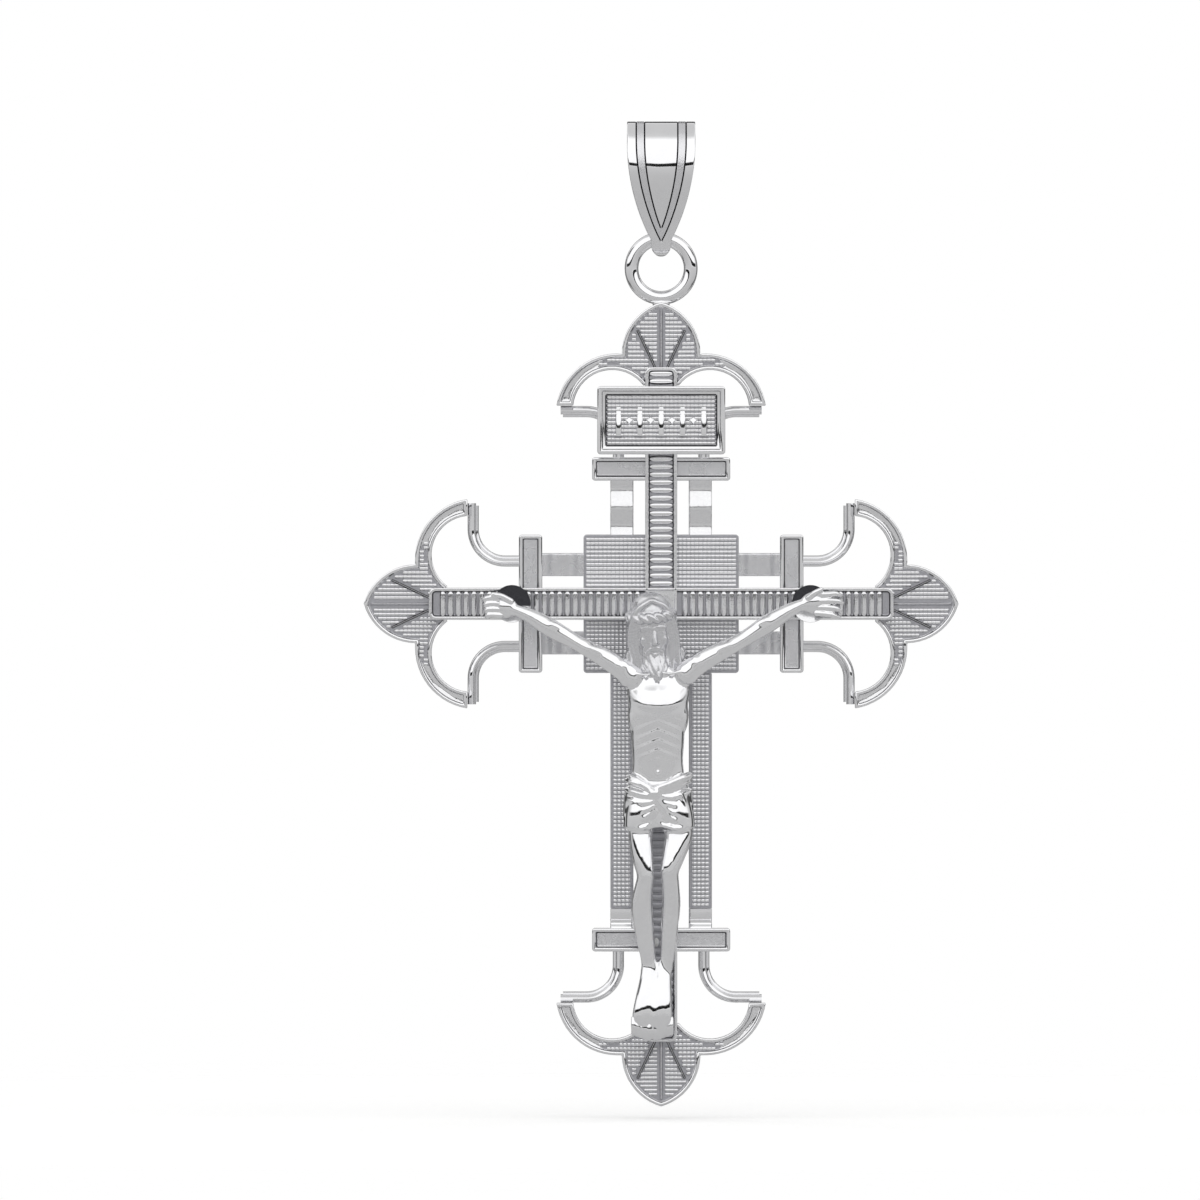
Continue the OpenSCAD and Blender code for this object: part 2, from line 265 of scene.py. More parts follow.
# Painted shade: dark metal put behind the hands and feet, on the walls under rims and in cut lines, where
# shade falls.
shadowed = metal("painted_shade_rhodium", "#5A5A5E", "#2E2E32", (0.30, 0.45), 0.05, 0.004)


# ---------------------------------------------------------------- centre plate
# The beaded plate behind the crossing, struck from sheet. Rows of small beads cover its face,
# and its corners and edges are lightly rounded by tumbling.

# How far a sunk wall leans, so that it catches some light.
WALL = 0.05


def corners(node):
    """A CAD node's lowest and highest corners, in millimetres."""
    low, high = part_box(node)
    return [c / MM for c in low], [c / MM for c in high]


def primitive(kind, name, **settings):
    """Add a mesh primitive on its own, with its place and size written into its mesh."""
    bpy.ops.object.select_all(action="DESELECT")
    getattr(bpy.ops.mesh, f"primitive_{kind}_add")(**settings)
    piece = bpy.context.object
    piece.name = name
    bpy.ops.object.transform_apply(location=True, rotation=True, scale=True)
    return piece


def block(name, low, high):
    """A cuboid between two corners."""
    middle = [(a + b) / 2 for a, b in zip(low, high)]
    size = [b - a for a, b in zip(low, high)]
    return primitive("cube", name, size=1, location=middle, scale=size)


def only(piece):
    """Make one piece the active one and the only one selected."""
    bpy.ops.object.select_all(action="DESELECT")
    piece.select_set(True)
    bpy.context.view_layer.objects.active = piece
    return piece


def choose(piece, kind, test):
    """Go to edit mode and select the FACE, EDGE or VERT items that pass the test."""
    if piece.mode != "EDIT":
        only(piece)
        bpy.ops.object.mode_set(mode="EDIT")
    bpy.ops.mesh.select_mode(type=kind)
    bpy.ops.mesh.select_all(action="DESELECT")
    mesh = bmesh.from_edit_mesh(piece.data)
    mesh.normal_update()
    items = {"FACE": mesh.faces, "EDGE": mesh.edges, "VERT": mesh.verts}[kind]
    for item in items:
        if test(item):
            item.select_set(True)
    mesh.select_flush_mode()
    bmesh.update_edit_mesh(piece.data)


def leave():
    """Go back to object mode."""
    bpy.ops.object.mode_set(mode="OBJECT")


def faces_front(face):
    """True for a face that looks out of the front."""
    return face.normal.y < -0.9


def runs(axis, length):
    """A test for edges that are longer than a length along an axis."""
    return lambda edge: abs((edge.verts[0].co - edge.verts[1].co)[axis]) > length


def point_outwards(piece):
    """Turn every face of a closed piece outwards."""
    choose(piece, "FACE", lambda face: True)
    bpy.ops.mesh.normals_make_consistent(inside=False)
    leave()


def apply_modifier(piece, kind, **settings):
    """Add a modifier with its settings and apply it."""
    only(piece)
    modifier = piece.modifiers.new(kind.lower(), kind)
    for name, value in settings.items():
        setattr(modifier, name, value)
    bpy.ops.object.modifier_apply(modifier=modifier.name)
    return piece


def round_edges(piece, width, segments=2, angle=40):
    """Round every edge sharper than an angle."""
    return apply_modifier(piece, "BEVEL", width=width, segments=segments,
                          limit_method="ANGLE", angle_limit=math.radians(angle))


def paint(piece, *materials):
    """Give a piece its materials; the first is on every face unless a face says otherwise."""
    piece.data.materials.clear()
    for material in materials:
        piece.data.materials.append(material)
    return piece


def mark(piece, number, test):
    """Give the faces that pass a test another of the piece's materials."""
    for face in piece.data.polygons:
        if test(face):
            face.material_index = number
    return piece


def sink(rim, depth):
    """Sink the chosen faces inside a rim, down a steep wall."""
    bpy.ops.mesh.inset(thickness=rim)
    bpy.ops.mesh.inset(thickness=WALL)
    bpy.ops.transform.translate(value=(0, depth, 0))


def paint_shade_on_walls(piece, number, front, depth):
    """Give the steep walls under a rim a material of painted shade, for the shade down the wall."""
    return mark(piece, number, lambda face: -0.6 < face.normal.y < -0.05
                and front + 0.3 * depth < face.center.y < front + 1.1 * depth)


def join(name, pieces):
    """Join several pieces into one."""
    bpy.ops.object.select_all(action="DESELECT")
    for piece in pieces:
        piece.select_set(True)
    bpy.context.view_layer.objects.active = pieces[0]
    bpy.ops.object.join()
    pieces[0].name = name
    return pieces[0]


def copy_of(piece, name):
    """Copy a piece with a mesh of its own."""
    twin = piece.copy()
    twin.data = piece.data.copy()
    twin.name = name
    bpy.context.collection.objects.link(twin)
    return twin


def from_points(name, points, faces):
    """A piece made of points and of the faces between them."""
    mesh = bpy.data.meshes.new(name)
    mesh.from_pydata(points.tolist(), [], faces)
    piece = bpy.data.objects.new(name, mesh)
    bpy.context.collection.objects.link(piece)
    return piece


def finish_piece(piece, node, body="cross", smooth=50, weighted=True):
    """Turn a piece from millimetres to metres and let it stand for its CAD node."""
    only(piece)
    piece.scale = (MM, MM, MM)
    bpy.ops.object.transform_apply(location=True, rotation=True, scale=True)
    bpy.ops.object.shade_smooth_by_angle(angle=math.radians(smooth))
    if weighted:
        apply_modifier(piece, "WEIGHTED_NORMAL", keep_sharp=True, weight=100)
    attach(piece, body)
    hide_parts(node)
    return piece


# The beads are wider than their pitch, so those in a row run into each other.
BEAD_PITCH = 0.195
BEAD_HEIGHT = 0.08
BEAD_WIDTH = 0.215
BEAD_TALL = 0.155
BEAD_ROUNDING = 0.065


def one_bead():
    """A single struck bead: a rounded block with no back, made twice as wide and then halved."""
    bead = primitive("cube", "bead", size=1, scale=(2 * BEAD_WIDTH, 2 * BEAD_HEIGHT, BEAD_TALL))
    choose(bead, "FACE", lambda face: face.normal.y > 0.9)
    bpy.ops.mesh.delete(type="ONLY_FACE")
    choose(bead, "FACE", faces_front)
    bpy.ops.mesh.bevel(offset=BEAD_ROUNDING, segments=2, affect="EDGES")
    bpy.ops.mesh.select_all(action="SELECT")
    bpy.ops.transform.resize(value=(0.5, 1, 1), center_override=(0, 0, 0))
    leave()
    return bead


def bead_carpet(name, low, high, front, keep=lambda x, z: True):
    """Rows of beads between two corners of a face at a depth, where keep(x, z) is true."""
    bead = one_bead()
    bead_points = np.array([tuple(v.co) for v in bead.data.vertices])
    bead_faces = [list(p.vertices) for p in bead.data.polygons]
    columns = int((high[0] - low[0]) / BEAD_PITCH)
    rows = int((high[1] - low[1]) / BEAD_PITCH)
    left = (low[0] + high[0]) / 2 - (columns - 1) * BEAD_PITCH / 2
    foot = (low[1] + high[1]) / 2 - (rows - 1) * BEAD_PITCH / 2
    spots, faces = [], []
    for row in range(rows):
        for column in range(columns):
            x = left + column * BEAD_PITCH
            z = foot + row * BEAD_PITCH
            if not keep(x, z):
                continue
            faces += [[i + len(spots) * len(bead_points) for i in face] for face in bead_faces]
            spots.append((x, front, z))
    points = np.array(spots)[:, None, :] + bead_points[None, :, :]
    carpet = from_points(name, points.reshape(-1, 3), faces)
    only(bead)
    bpy.ops.object.delete()
    return paint(carpet, struck)


BACK = corners("centre_plate")[1][1]
CROSSING = (corners("centre_plate")[0][2] + corners("centre_plate")[1][2]) / 2
PLATE_FACE = corners("centre_plate")[0][1]

low, high = corners("centre_plate")
plate = block("centre_plate_body", (low[0], low[1] + BEAD_HEIGHT, low[2]), high)
choose(plate, "EDGE", runs(1, 0.5))
bpy.ops.mesh.bevel(offset=0.15, segments=4)
leave()
# The front face under the beads takes the matt ground, painted darker as the shade between beads.
mark(paint(round_edges(plate, 0.05), polished, shaded_ground), 1, faces_front)
margin = 0.06
beads = bead_carpet("centre_plate_beads", (low[0] + margin, low[2] + margin),
                    (high[0] - margin, high[2] - margin), low[1] + BEAD_HEIGHT)
finish_piece(join("beaded_centre_plate", [plate, beads]), "centre_plate")


# ---------------------------------------------------------------- foot rails
# The two long straps of the foot arm, struck with the same beads, then dipping to a bright
# plain step where they are soldered to the foot bar.

RAIL_MARGIN = 0.14
STEP_LENGTH = 0.9
STEP_DIP = 0.15


def round_front(piece, axis, middle):
    """Round the front edges that run along an axis; the back edges lie behind the middle."""
    long_enough = runs(axis, 0.5)
    choose(piece, "EDGE", lambda edge: long_enough(edge) and edge.verts[0].co.y < middle)
    bpy.ops.mesh.bevel(offset=0.07, segments=3)


def cut_up(piece, cuts):
    """Cut every face into small ones, so that the piece can be bent."""
    choose(piece, "FACE", lambda face: True)
    bpy.ops.mesh.subdivide(number_cuts=cuts)
    leave()


def foot_rail(node):
    """One rail: a beaded pad with bright edges and a wavy plain end."""
    low, high = corners(node)
    middle = (low[1] + high[1]) / 2
    pad_foot = low[2] + STEP_LENGTH
    pad = block(node + "_pad", (low[0], low[1] + BEAD_HEIGHT, pad_foot), high)
    # The pad's front face under the beads takes the matt ground, painted darker as the shade between beads.
    mark(paint(round_edges(pad, 0.05), polished, shaded_ground), 1, faces_front)
    beads = bead_carpet(node + "_beads", (low[0] + RAIL_MARGIN, pad_foot + 0.05),
                        (high[0] - RAIL_MARGIN, high[2]), low[1] + BEAD_HEIGHT)
    step = block(node + "_step", (low[0], low[1] + BEAD_HEIGHT, low[2]), (high[0], high[1], pad_foot))
    round_front(step, 2, middle)
    cut_up(step, 15)
    for vertex in step.data.vertices:
        if vertex.co.y < middle:
            along = (pad_foot - vertex.co.z) / STEP_LENGTH
            vertex.co.y += STEP_DIP * (1 - math.cos(2 * math.pi * along ** 2)) / 2
    return finish_piece(join("beaded_" + node, [pad, beads, paint(step, polished)]),
                        node)


foot_rail("foot_left_rail")
foot_rail("foot_right_rail")


# ---------------------------------------------------------------- bridges
# Six short straps between the centre plate and the top, left and right bars. Each is a strip bent
# in waves: the top pair is bright, as struck, and the side pairs are blasted satin.

# How far a strip is thinner than its strap, front and back, which leaves room for its waves.
WAVE_ROOM = 0.12


def bridge(node, waves, depth, finish):
    """A strip bent in waves along its length, between the centre plate and a bar."""
    low, high = corners(node)
    along = 2 if high[2] - low[2] > high[0] - low[0] else 0
    strip = block(node + "_strip", (low[0], low[1] + WAVE_ROOM, low[2]),
                  (high[0], high[1] - WAVE_ROOM, high[2]))
    round_front(strip, along, (low[1] + high[1]) / 2)
    cut_up(strip, 31)
    length = high[along] - low[along]
    for vertex in strip.data.vertices:
        share = (vertex.co[along] - low[along]) / length
        vertex.co.y += depth * math.sin(2 * math.pi * waves * share)
    return finish_piece(paint(strip, finish), node)


for node in ("top_left_bridge", "top_right_bridge"):
    bridge(node, 1.5, 0.10, struck)
for node in ("left_upper_bridge", "left_lower_bridge", "right_upper_bridge", "right_lower_bridge"):
    bridge(node, 2.5, 0.06, satin)


# ---------------------------------------------------------------- end bars
# Four short bars, one across each arm: a polished, rounded rim round a sand-blasted channel.

BAR_RIM = 0.17
BAR_CHANNEL = 0.24


def bar(node):
    """A bar with rounded corners, a raised rim and a sunk channel."""
    low, high = corners(node)
    piece = block("rimmed_" + node, low, high)
    choose(piece, "FACE", faces_front)
    sink(BAR_RIM, BAR_CHANNEL)
    choose(piece, "EDGE", runs(1, 0.5))
    bpy.ops.mesh.bevel(offset=0.14, segments=4)
    leave()
    round_edges(piece, 0.065, segments=3, angle=50)
    # The channel floor is blasted satin; the walls under the rim take painted shade.
    paint(piece, polished, satin, shadowed)
    mark(piece, 1, lambda face: faces_front(face) and face.center.y > low[1] + BAR_CHANNEL * 0.9)
    paint_shade_on_walls(piece, 2, low[1], BAR_CHANNEL)
    return finish_piece(piece, node)


for node in ("top_bar", "left_bar", "right_bar", "foot_bar"):
    bar(node)


# ---------------------------------------------------------------- finials
# Fleur-de-lis ends, struck in one piece: a pointed lobe and two curled petals inside a raised
# polished rim. Fine rays run from the neck over the beaded field, and the petals are left plain.

# The outline is made of arcs, each given by its radius and its middle: V is across the arm, and U is
# out from the line through the petals' cusps.
FIELD_DEPTH = 0.11
RIM_WIDTH = 0.15
WINDOW_RADIUS = 1.83
WINDOW_V = 2.3
WINDOW_U = 2.6
LOBE_RADIUS = 2.55
LOBE_V = 0.7
LOBE_U = 0.05
PETAL_RADIUS = 2.9
PETAL_V = 2.05
PETAL_U = 2.9
# A plain bright end is struck on each petal, past a slanting line through this place.
PLAIN_V = 2.75
PLAIN_U = -0.3
PLAIN_SLOPE = (0.85, 0.45)
ARMS = {"top": 0, "right": 90, "foot": 180, "left": -90}


def arm_turn(arm):
    """Turns a top arm, with the crossing at the origin, into another arm at its real place."""
    return Matrix.Translation((0, 0, CROSSING)) @ Matrix.Rotation(math.radians(ARMS[arm]), 4, "Y")


def reach_of(arm):
    """How far the outer face of an arm's bar is from the crossing."""
    low, high = corners(arm + "_bar")
    return {"top": high[2] - CROSSING, "foot": CROSSING - low[2], "right": high[0], "left": -low[0]}[arm]


LOBE_TIP = math.sqrt(LOBE_RADIUS ** 2 - LOBE_V ** 2) - LOBE_U
TOP_CUSP = corners("top_finial")[1][2] - CROSSING - LOBE_TIP
CUSP_OUT = TOP_CUSP - reach_of("top")
FIELD_FACE = PLATE_FACE + FIELD_DEPTH


def ray(start, end, width, height):
    """A thin roof-shaped ridge on the field, from one point to another."""
    a, b = Vector((start[0], 0, start[1])), Vector((end[0], 0, end[1]))
    along = (b - a).normalized()
    ridge = primitive("cube", "ray", size=1, scale=((b - a).length, height, width))
    choose(ridge, "FACE", faces_front)
    bpy.ops.transform.resize(value=(0.96, 1, 0.15), center_override=(0, -height / 2, 0))
    leave()
    side = Vector((-along.z, 0, along.x))
    turn = Matrix((along, Vector((0, 1, 0)), side)).transposed().to_4x4()
    place = (a + b) / 2 + Vector((0, FIELD_FACE - height / 2 + 0.02, 0))
    ridge.data.transform(Matrix.Translation(place) @ turn)
    if turn.determinant() < 0:
        ridge.data.flip_normals()
    # The ridge's sides are painted dark with shade, so that the ray reads as a dark line.
    return mark(paint(ridge, struck, shadowed), 1, lambda face: not faces_front(face))


def near_ray(v, u):
    """True on the middle ray, and on a side ray, which slants out by 0.47 of its height."""
    on_middle = u > -1.0 and v <= 0.13
    on_side = -0.9 < u < 1.15 and abs((v - 0.28) - (u + 0.8) * 0.47) * 0.9 <= 0.13
    return on_middle or on_side


def in_field(v, u):
    """True on the part of a finial with beads; v is across the arm and u is out from the cusps."""
    v = abs(v)
    margin = RIM_WIDTH + 0.13
    window = math.hypot(v - WINDOW_V, u + WINDOW_U) < WINDOW_RADIUS + margin
    neck = u < -1.25 and v < 0.95
    lobe = u > -1.4 and math.hypot(v + LOBE_V, u + LOBE_U) < LOBE_RADIUS - margin
    petal = v < 2.95 and math.hypot(v - PETAL_V, u + PETAL_U) < PETAL_RADIUS - margin
    return (lobe or petal) and not window and not neck and not near_ray(v, u)


def past_plain(x, z):
    """True on the plain ends of the master finial's petals."""
    return (abs(x) - PLAIN_V) * PLAIN_SLOPE[0] + (z - PLAIN_U) * PLAIN_SLOPE[1] > 0


def finial_master():
    """The top arm's finial with its cusps on the X axis, rimmed and rayed, without beads."""
    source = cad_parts["top_finial"]
    body = copy_of(source, "finial_master")
    body.parent = None
    body.matrix_world = Matrix.Identity(4)
    body.data.transform(Matrix.Translation((0, 0, -CROSSING - TOP_CUSP)) @ Matrix.Scale(1 / MM, 4))
    body.hide_render = False
    body.hide_viewport = False
    choose(body, "VERT", lambda vertex: True)
    bpy.ops.mesh.remove_doubles(threshold=0.001)
    bpy.ops.mesh.normals_make_consistent(inside=False)
    bpy.ops.mesh.dissolve_limited(angle_limit=math.radians(1))
    choose(body, "FACE", faces_front)
    sink(RIM_WIDTH, FIELD_DEPTH)
    leave()
    round_edges(body, 0.05, segments=2, angle=60)
    # The beaded floor takes the matt ground with its painted shade, and the walls under the rim darker
    # painted shade.
    paint(body, polished, shaded_ground, struck, shadowed)
    floor_low = FIELD_FACE - 0.03
    for side in (-1, 1):
        choose(body, "FACE", lambda face: faces_front(face) and face.calc_center_median().y > floor_low)
        bpy.ops.mesh.bisect(plane_co=(side * PLAIN_V, 0, PLAIN_U),
                            plane_no=(side * PLAIN_SLOPE[0], 0, PLAIN_SLOPE[1]))
    leave()
    mark(body, 1, lambda face: faces_front(face) and face.center.y > floor_low)
    mark(body, 2, lambda face: faces_front(face) and face.center.y > floor_low
         and past_plain(face.center.x, face.center.z))
    paint_shade_on_walls(body, 3, PLATE_FACE, FIELD_DEPTH)
    # The middle ray's sides take the ground's painted shade.
    rays = [paint(ray((0, -0.95), (0, 2.1), 0.2, 0.15), struck, shaded_ground)]
    for side in (-1, 1):
        rays.append(ray((side * 0.22, -0.8), (side * 1.12, 1.1), 0.13, 0.14))
    return join("finial_master", [body] + rays)


def finial(master, arm):
    """One arm's finial: the master turned into place, with beads in rows level with the ground."""
    out = reach_of(arm) + CUSP_OUT
    turn = arm_turn(arm)
    body = copy_of(master, arm + "_finial_body")
    body.data.transform(turn @ Matrix.Translation((0, 0, out)))
    back = turn.inverted()

    def keep(x, z):
        """True where the turned finial has beads."""
        local = back @ Vector((x, 0, z))
        return in_field(local.x, local.z - out)

    low, high = corners(arm + "_finial")
    beads = bead_carpet(arm + "_finial_beads", (low[0], low[2]), (high[0], high[2]), FIELD_FACE, keep)
    whole = join("beaded_" + arm + "_finial", [body, beads])
    return finish_piece(whole, arm + "_finial")


master = finial_master()
for arm in ARMS:
    finial(master, arm)
only(master)
bpy.ops.object.delete()


# ---------------------------------------------------------------- scrolls
# Eight cast wires that sweep from the bars out to the tips of the petals. Each is a rounded
# moulding with a thinner bead along its inner side.

# A wire leaves its bar at RUN_V across the arm, and bends out to the petal's tip at TIP_V.
SCROLL_BEND = 1.5
SCROLL_WIDTH = 0.54
SCROLL_MIDDLE = 0.46
RUN_V = 2.0
TIP_V = 4.78
TIP_CUT = 2.45


def scroll_path(reach, inset):
    """Points of one wire on the top arm, right-hand side, set in from the middle of the moulding."""
    run_v = RUN_V + inset
    end_u = reach + CUSP_OUT - TIP_CUT - SCROLL_WIDTH / 2 - inset
    radius = SCROLL_BEND - inset
    centre = (run_v + radius, end_u - radius)
    points = [(run_v, reach - 0.05)]
    for step in range(17):
        angle = math.pi - step * math.pi / 32
        points.append((centre[0] + radius * math.cos(angle), centre[1] + radius * math.sin(angle)))
    points.append((TIP_V - abs(inset), end_u))
    return points


def wire(name, points, radius, depth):
    """A round-ended wire along a path, pressed to a depth."""
    curve = bpy.data.curves.new(name, "CURVE")
    curve.dimensions = "3D"
    curve.bevel_depth = radius
    curve.bevel_resolution = 4
    curve.use_fill_caps = True
    spline = curve.splines.new("POLY")
    spline.points.add(len(points) - 1)
    for point, (x, z) in zip(spline.points, points):
        point.co = (x, 0, z, 1)
    piece = bpy.data.objects.new(name, curve)
    bpy.context.collection.objects.link(piece)
    only(piece)
    bpy.ops.object.convert(target="MESH")
    piece = bpy.context.object
    piece.data.transform(Matrix.Scale(depth / radius, 4, Vector((0, 1, 0))))
    return paint(piece, polished)


def scroll(arm, side, node):
    """One scroll: the main moulding and the thin bead inside its bend."""
    reach = reach_of(arm)
    main = wire(node + "_main", scroll_path(reach, -0.06), 0.2, 0.36)
    inner = wire(node + "_inner", scroll_path(reach, 0.17), 0.1, 0.2)
    inner.data.transform(Matrix.Translation((0, 0.08, 0)))
    both = join("moulded_" + node, [main, inner])
    mirror = Matrix.Scale(side, 4, Vector((1, 0, 0)))
    both.data.transform(arm_turn(arm) @ Matrix.Translation((0, BACK - SCROLL_MIDDLE, 0)) @ mirror)
    point_outwards(both)
    return finish_piece(both, node)


for arm, side, node in (
    ("top", -1, "top_left_scroll"), ("top", 1, "top_right_scroll"),
    ("left", 1, "left_upper_scroll"), ("left", -1, "left_lower_scroll"),
    ("right", -1, "right_upper_scroll"), ("right", 1, "right_lower_scroll"),
    ("foot", 1, "foot_left_scroll"), ("foot", -1, "foot_right_scroll"),
):
    scroll(arm, side, node)


# ---------------------------------------------------------------- ribbed beams
# The upright and the cross beam, halved into each other. Each is a trough with raised side edges
# and rounded ribs across it; a plain pad covers the joint at the crossing.

RIB_PITCH = 0.365
TROUGH_DEPTH = 0.2
BEAM_EDGE = 0.15
# Ribs with a squareness under this are bars with square ends; the others are lens shapes.
SQUARE_END = 0.3
# How far below the crossing a drop of metal was left in the trough.
DROP_BELOW = 15.87


def beam_body(name, low, high):
    """The trough of a beam that runs along Z, with rounded ends."""
    body = block(name, low, high)
    choose(body, "EDGE", runs(1, 0.3))
    bpy.ops.mesh.bevel(offset=0.32, segments=6)
    leave()
    choose(body, "FACE", faces_front)
    sink(BEAM_EDGE, TROUGH_DEPTH)
    leave()
    # The trough's floor takes the matt ground with its painted shade, and its walls darker painted shade.
    paint(round_edges(body, 0.045, segments=2, angle=50), struck, shaded_ground, shadowed)
    mark(body, 1, lambda face: faces_front(face) and face.center.y > low[1] + TROUGH_DEPTH * 0.8)
    return paint_shade_on_walls(body, 2, low[1], TROUGH_DEPTH)


def rib_row(name, width, low_z, high_z, floor_y, squareness, height=0.95, finish=None):
    """Ribs across a trough, from one height to another."""
    count = max(1, int((high_z - low_z) / RIB_PITCH))
    rib = primitive("uv_sphere", name, segments=16, ring_count=12, radius=1)
    length = width / 2 - BEAM_EDGE + 0.02
    rib.data.transform(Matrix.Rotation(math.radians(90), 4, "Y"))
    for vertex in rib.data.vertices:
        x, y, z = vertex.co
        fullness = math.copysign(abs(x) ** squareness, x)
        girth = 1.0
        if squareness < SQUARE_END:
            girth = math.sqrt(1 - min(abs(fullness) ** 14, 0.97)) / max(math.hypot(y, z), 0.01)
        vertex.co = (fullness * length, y * girth * TROUGH_DEPTH * height, z * girth * RIB_PITCH * 0.43)
    middle = (low_z + high_z) / 2
    rib.data.transform(Matrix.Translation((0, floor_y, middle - (count - 1) * RIB_PITCH / 2)))
    apply_modifier(rib, "ARRAY", count=count, use_relative_offset=False, use_constant_offset=True,
                   constant_offset_displace=(0, 0, RIB_PITCH))
    return paint(rib, finish or polished)


low, high = corners("upright_beam")
half = high[0]
title_low, title_high = corners("title_plate")
floor_y = low[1] + TROUGH_DEPTH
upright = [
    beam_body("upright_trough", low, high),
    # The ribs between the legs take the ground's painted shade, for the shade the legs cast on them.
    rib_row("upright_ribs_foot", 2 * half, low[2] + 0.3, CROSSING - half, floor_y, 0.2, 0.3, shaded_ground),
    primitive("uv_sphere", "casting_drop", segments=16, ring_count=10, radius=1,
              scale=(0.11, 0.16, 0.22), location=(-0.22, floor_y - 0.03, CROSSING - DROP_BELOW)),
    rib_row("upright_ribs_top", 2 * half, CROSSING + half, title_low[2], floor_y, 0.5),
    rib_row("upright_ribs_end", 2 * half, title_high[2] + 0.05, high[2] - 0.12, floor_y, 0.5),
]
finish_piece(join("ribbed_upright", upright), "upright_beam")

low, high = corners("cross_beam")
length = high[0] - low[0]
half = (high[2] - low[2]) / 2
# The cross beam is made along Z, like the upright, and then turned.
pad = block("crossing_pad", (-half, low[1] + 0.02, -half), (half, high[1], half))
cross = join("ribbed_crossbeam", [
    beam_body("cross_trough", (-half, low[1], -length / 2), (half, high[1], length / 2)),
    rib_row("cross_ribs_left", 2 * half, -length / 2 + 0.3, -half, floor_y, 0.25, 0.95, struck),
    rib_row("cross_ribs_right", 2 * half, half, length / 2 - 0.3, floor_y, 0.25, 0.95, struck),
    paint(round_edges(pad, 0.05), struck),
])
cross.data.transform(arm_turn("right"))
finish_piece(cross, "cross_beam")


# ---------------------------------------------------------------- title plate
# A framed plate above the crossing. A row of strokes and lozenges, a plain ornament, stands
# in relief on its beaded field.

TITLE_RIM = 0.20
TITLE_BORDER = 0.12
TITLE_STEP = 0.14
TITLE_SINK = 0.32
# How far the top of the ornament leans back, the half widths of a stroke and of its two feet, and
# the size of a lozenge before it is stood on its corner.
ORNAMENT_LEAN = 0.2
STROKE_HALF = 0.14
STROKE_FOOT = 0.24
LOZENGE = 0.44

low, high = corners("title_plate")
title = block("title_body", low, high)
choose(title, "FACE", faces_front)
sink(TITLE_RIM, TITLE_STEP)
sink(TITLE_BORDER, TITLE_SINK - TITLE_STEP)
choose(title, "EDGE", runs(1, 0.5))
bpy.ops.mesh.bevel(offset=0.16, segments=4)
leave()
# The beaded field takes the matt ground with its painted shade, and the walls under the frame darker painted
# shade.
paint(round_edges(title, 0.065, segments=3, angle=50), polished, shaded_ground, shadowed)
paint_shade_on_walls(title, 2, low[1], TITLE_SINK)
mark(title, 1, lambda face: faces_front(face) and face.center.y > low[1] + TITLE_SINK * 0.8)
margin = TITLE_RIM + TITLE_BORDER + 0.08
beads = bead_carpet("title_beads", (low[0] + margin, low[2] + margin),
                    (high[0] - margin, high[2] - margin), low[1] + TITLE_SINK)
finish_piece(join("framed_title_plate", [title, beads]), "title_plate")

low, high = corners("title_emblem")
middle = [(a + b) / 2 for a, b in zip(low, high)]
# The ornament's back reaches a little into the beads.
back = high[1] + 0.05
ornament = []
for x in range(-2, 3):
    stroke = block("stroke", (x - STROKE_HALF, low[1], low[2]), (x + STROKE_HALF, back, high[2]))
    ornament.append(round_edges(stroke, 0.07))
    for end in (low[2] + 0.07, high[2] - 0.07):
        foot = block("foot", (x - STROKE_FOOT, low[1] + 0.02, end - 0.06),
                     (x + STROKE_FOOT, back, end + 0.06))
        ornament.append(round_edges(foot, 0.04))
for x in (-1.5, -0.5, 0.5, 1.5):
    lozenge = primitive("cube", "lozenge", size=1, scale=(LOZENGE, back - low[1], LOZENGE))
    choose(lozenge, "FACE", faces_front)
    bpy.ops.transform.resize(value=(0.45, 1, 0.45), center_override=(0, 0, 0))
    leave()
    lozenge.data.transform(Matrix.Translation((x, middle[1], middle[2]))
                           @ Matrix.Rotation(math.radians(45), 4, "Y"))
    ornament.append(lozenge)
ornament = join("relief_ornament", ornament)
for vertex in ornament.data.vertices:
    if vertex.co.y < middle[1]:
        vertex.co.y += ORNAMENT_LEAN * (vertex.co.z - low[2]) / (high[2] - low[2])
finish_piece(paint(ornament, polished), "title_emblem")


# ---------------------------------------------------------------- pegs
# Short round studs between the beams and the hands and feet. They are painted dark with the shade that the
# hands and feet cast on them; only the lower part of a hand peg, out of that shade, is bright.

# How far below the crossing a hand peg's painted shade gives way to bright metal, and how wide and deep its
# dished end's rim is.
PEG_BRIGHT_BELOW = 0.1
PEG_RIM = 0.12
PEG_DISH = 0.06

for node in ("left_hand_peg", "right_hand_peg"):
    low, high = corners(node)
    peg = primitive("cylinder", "cast_" + node, vertices=48, radius=(high[0] - low[0]) / 2,
                    depth=high[1] - low[1], rotation=(math.radians(90), 0, 0),
                    location=[(a + b) / 2 for a, b in zip(low, high)])
    choose(peg, "FACE", faces_front)
    bpy.ops.mesh.inset(thickness=PEG_RIM)
    bpy.ops.transform.translate(value=(0, PEG_DISH, 0))
    bpy.ops.mesh.select_all(action="SELECT")
    bpy.ops.mesh.bisect(plane_co=(0, 0, CROSSING - PEG_BRIGHT_BELOW), plane_no=(0, 0, 1))
    leave()
    # Painted shade on the peg above the line, bright struck metal below it.
    paint(round_edges(peg, 0.03), shadowed, struck)
    mark(peg, 1, lambda face: face.center.z < CROSSING - PEG_BRIGHT_BELOW)
    finish_piece(peg, node)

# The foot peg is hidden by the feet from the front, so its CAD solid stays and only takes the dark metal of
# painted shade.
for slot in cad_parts["foot_peg"].material_slots:
    slot.material = shadowed


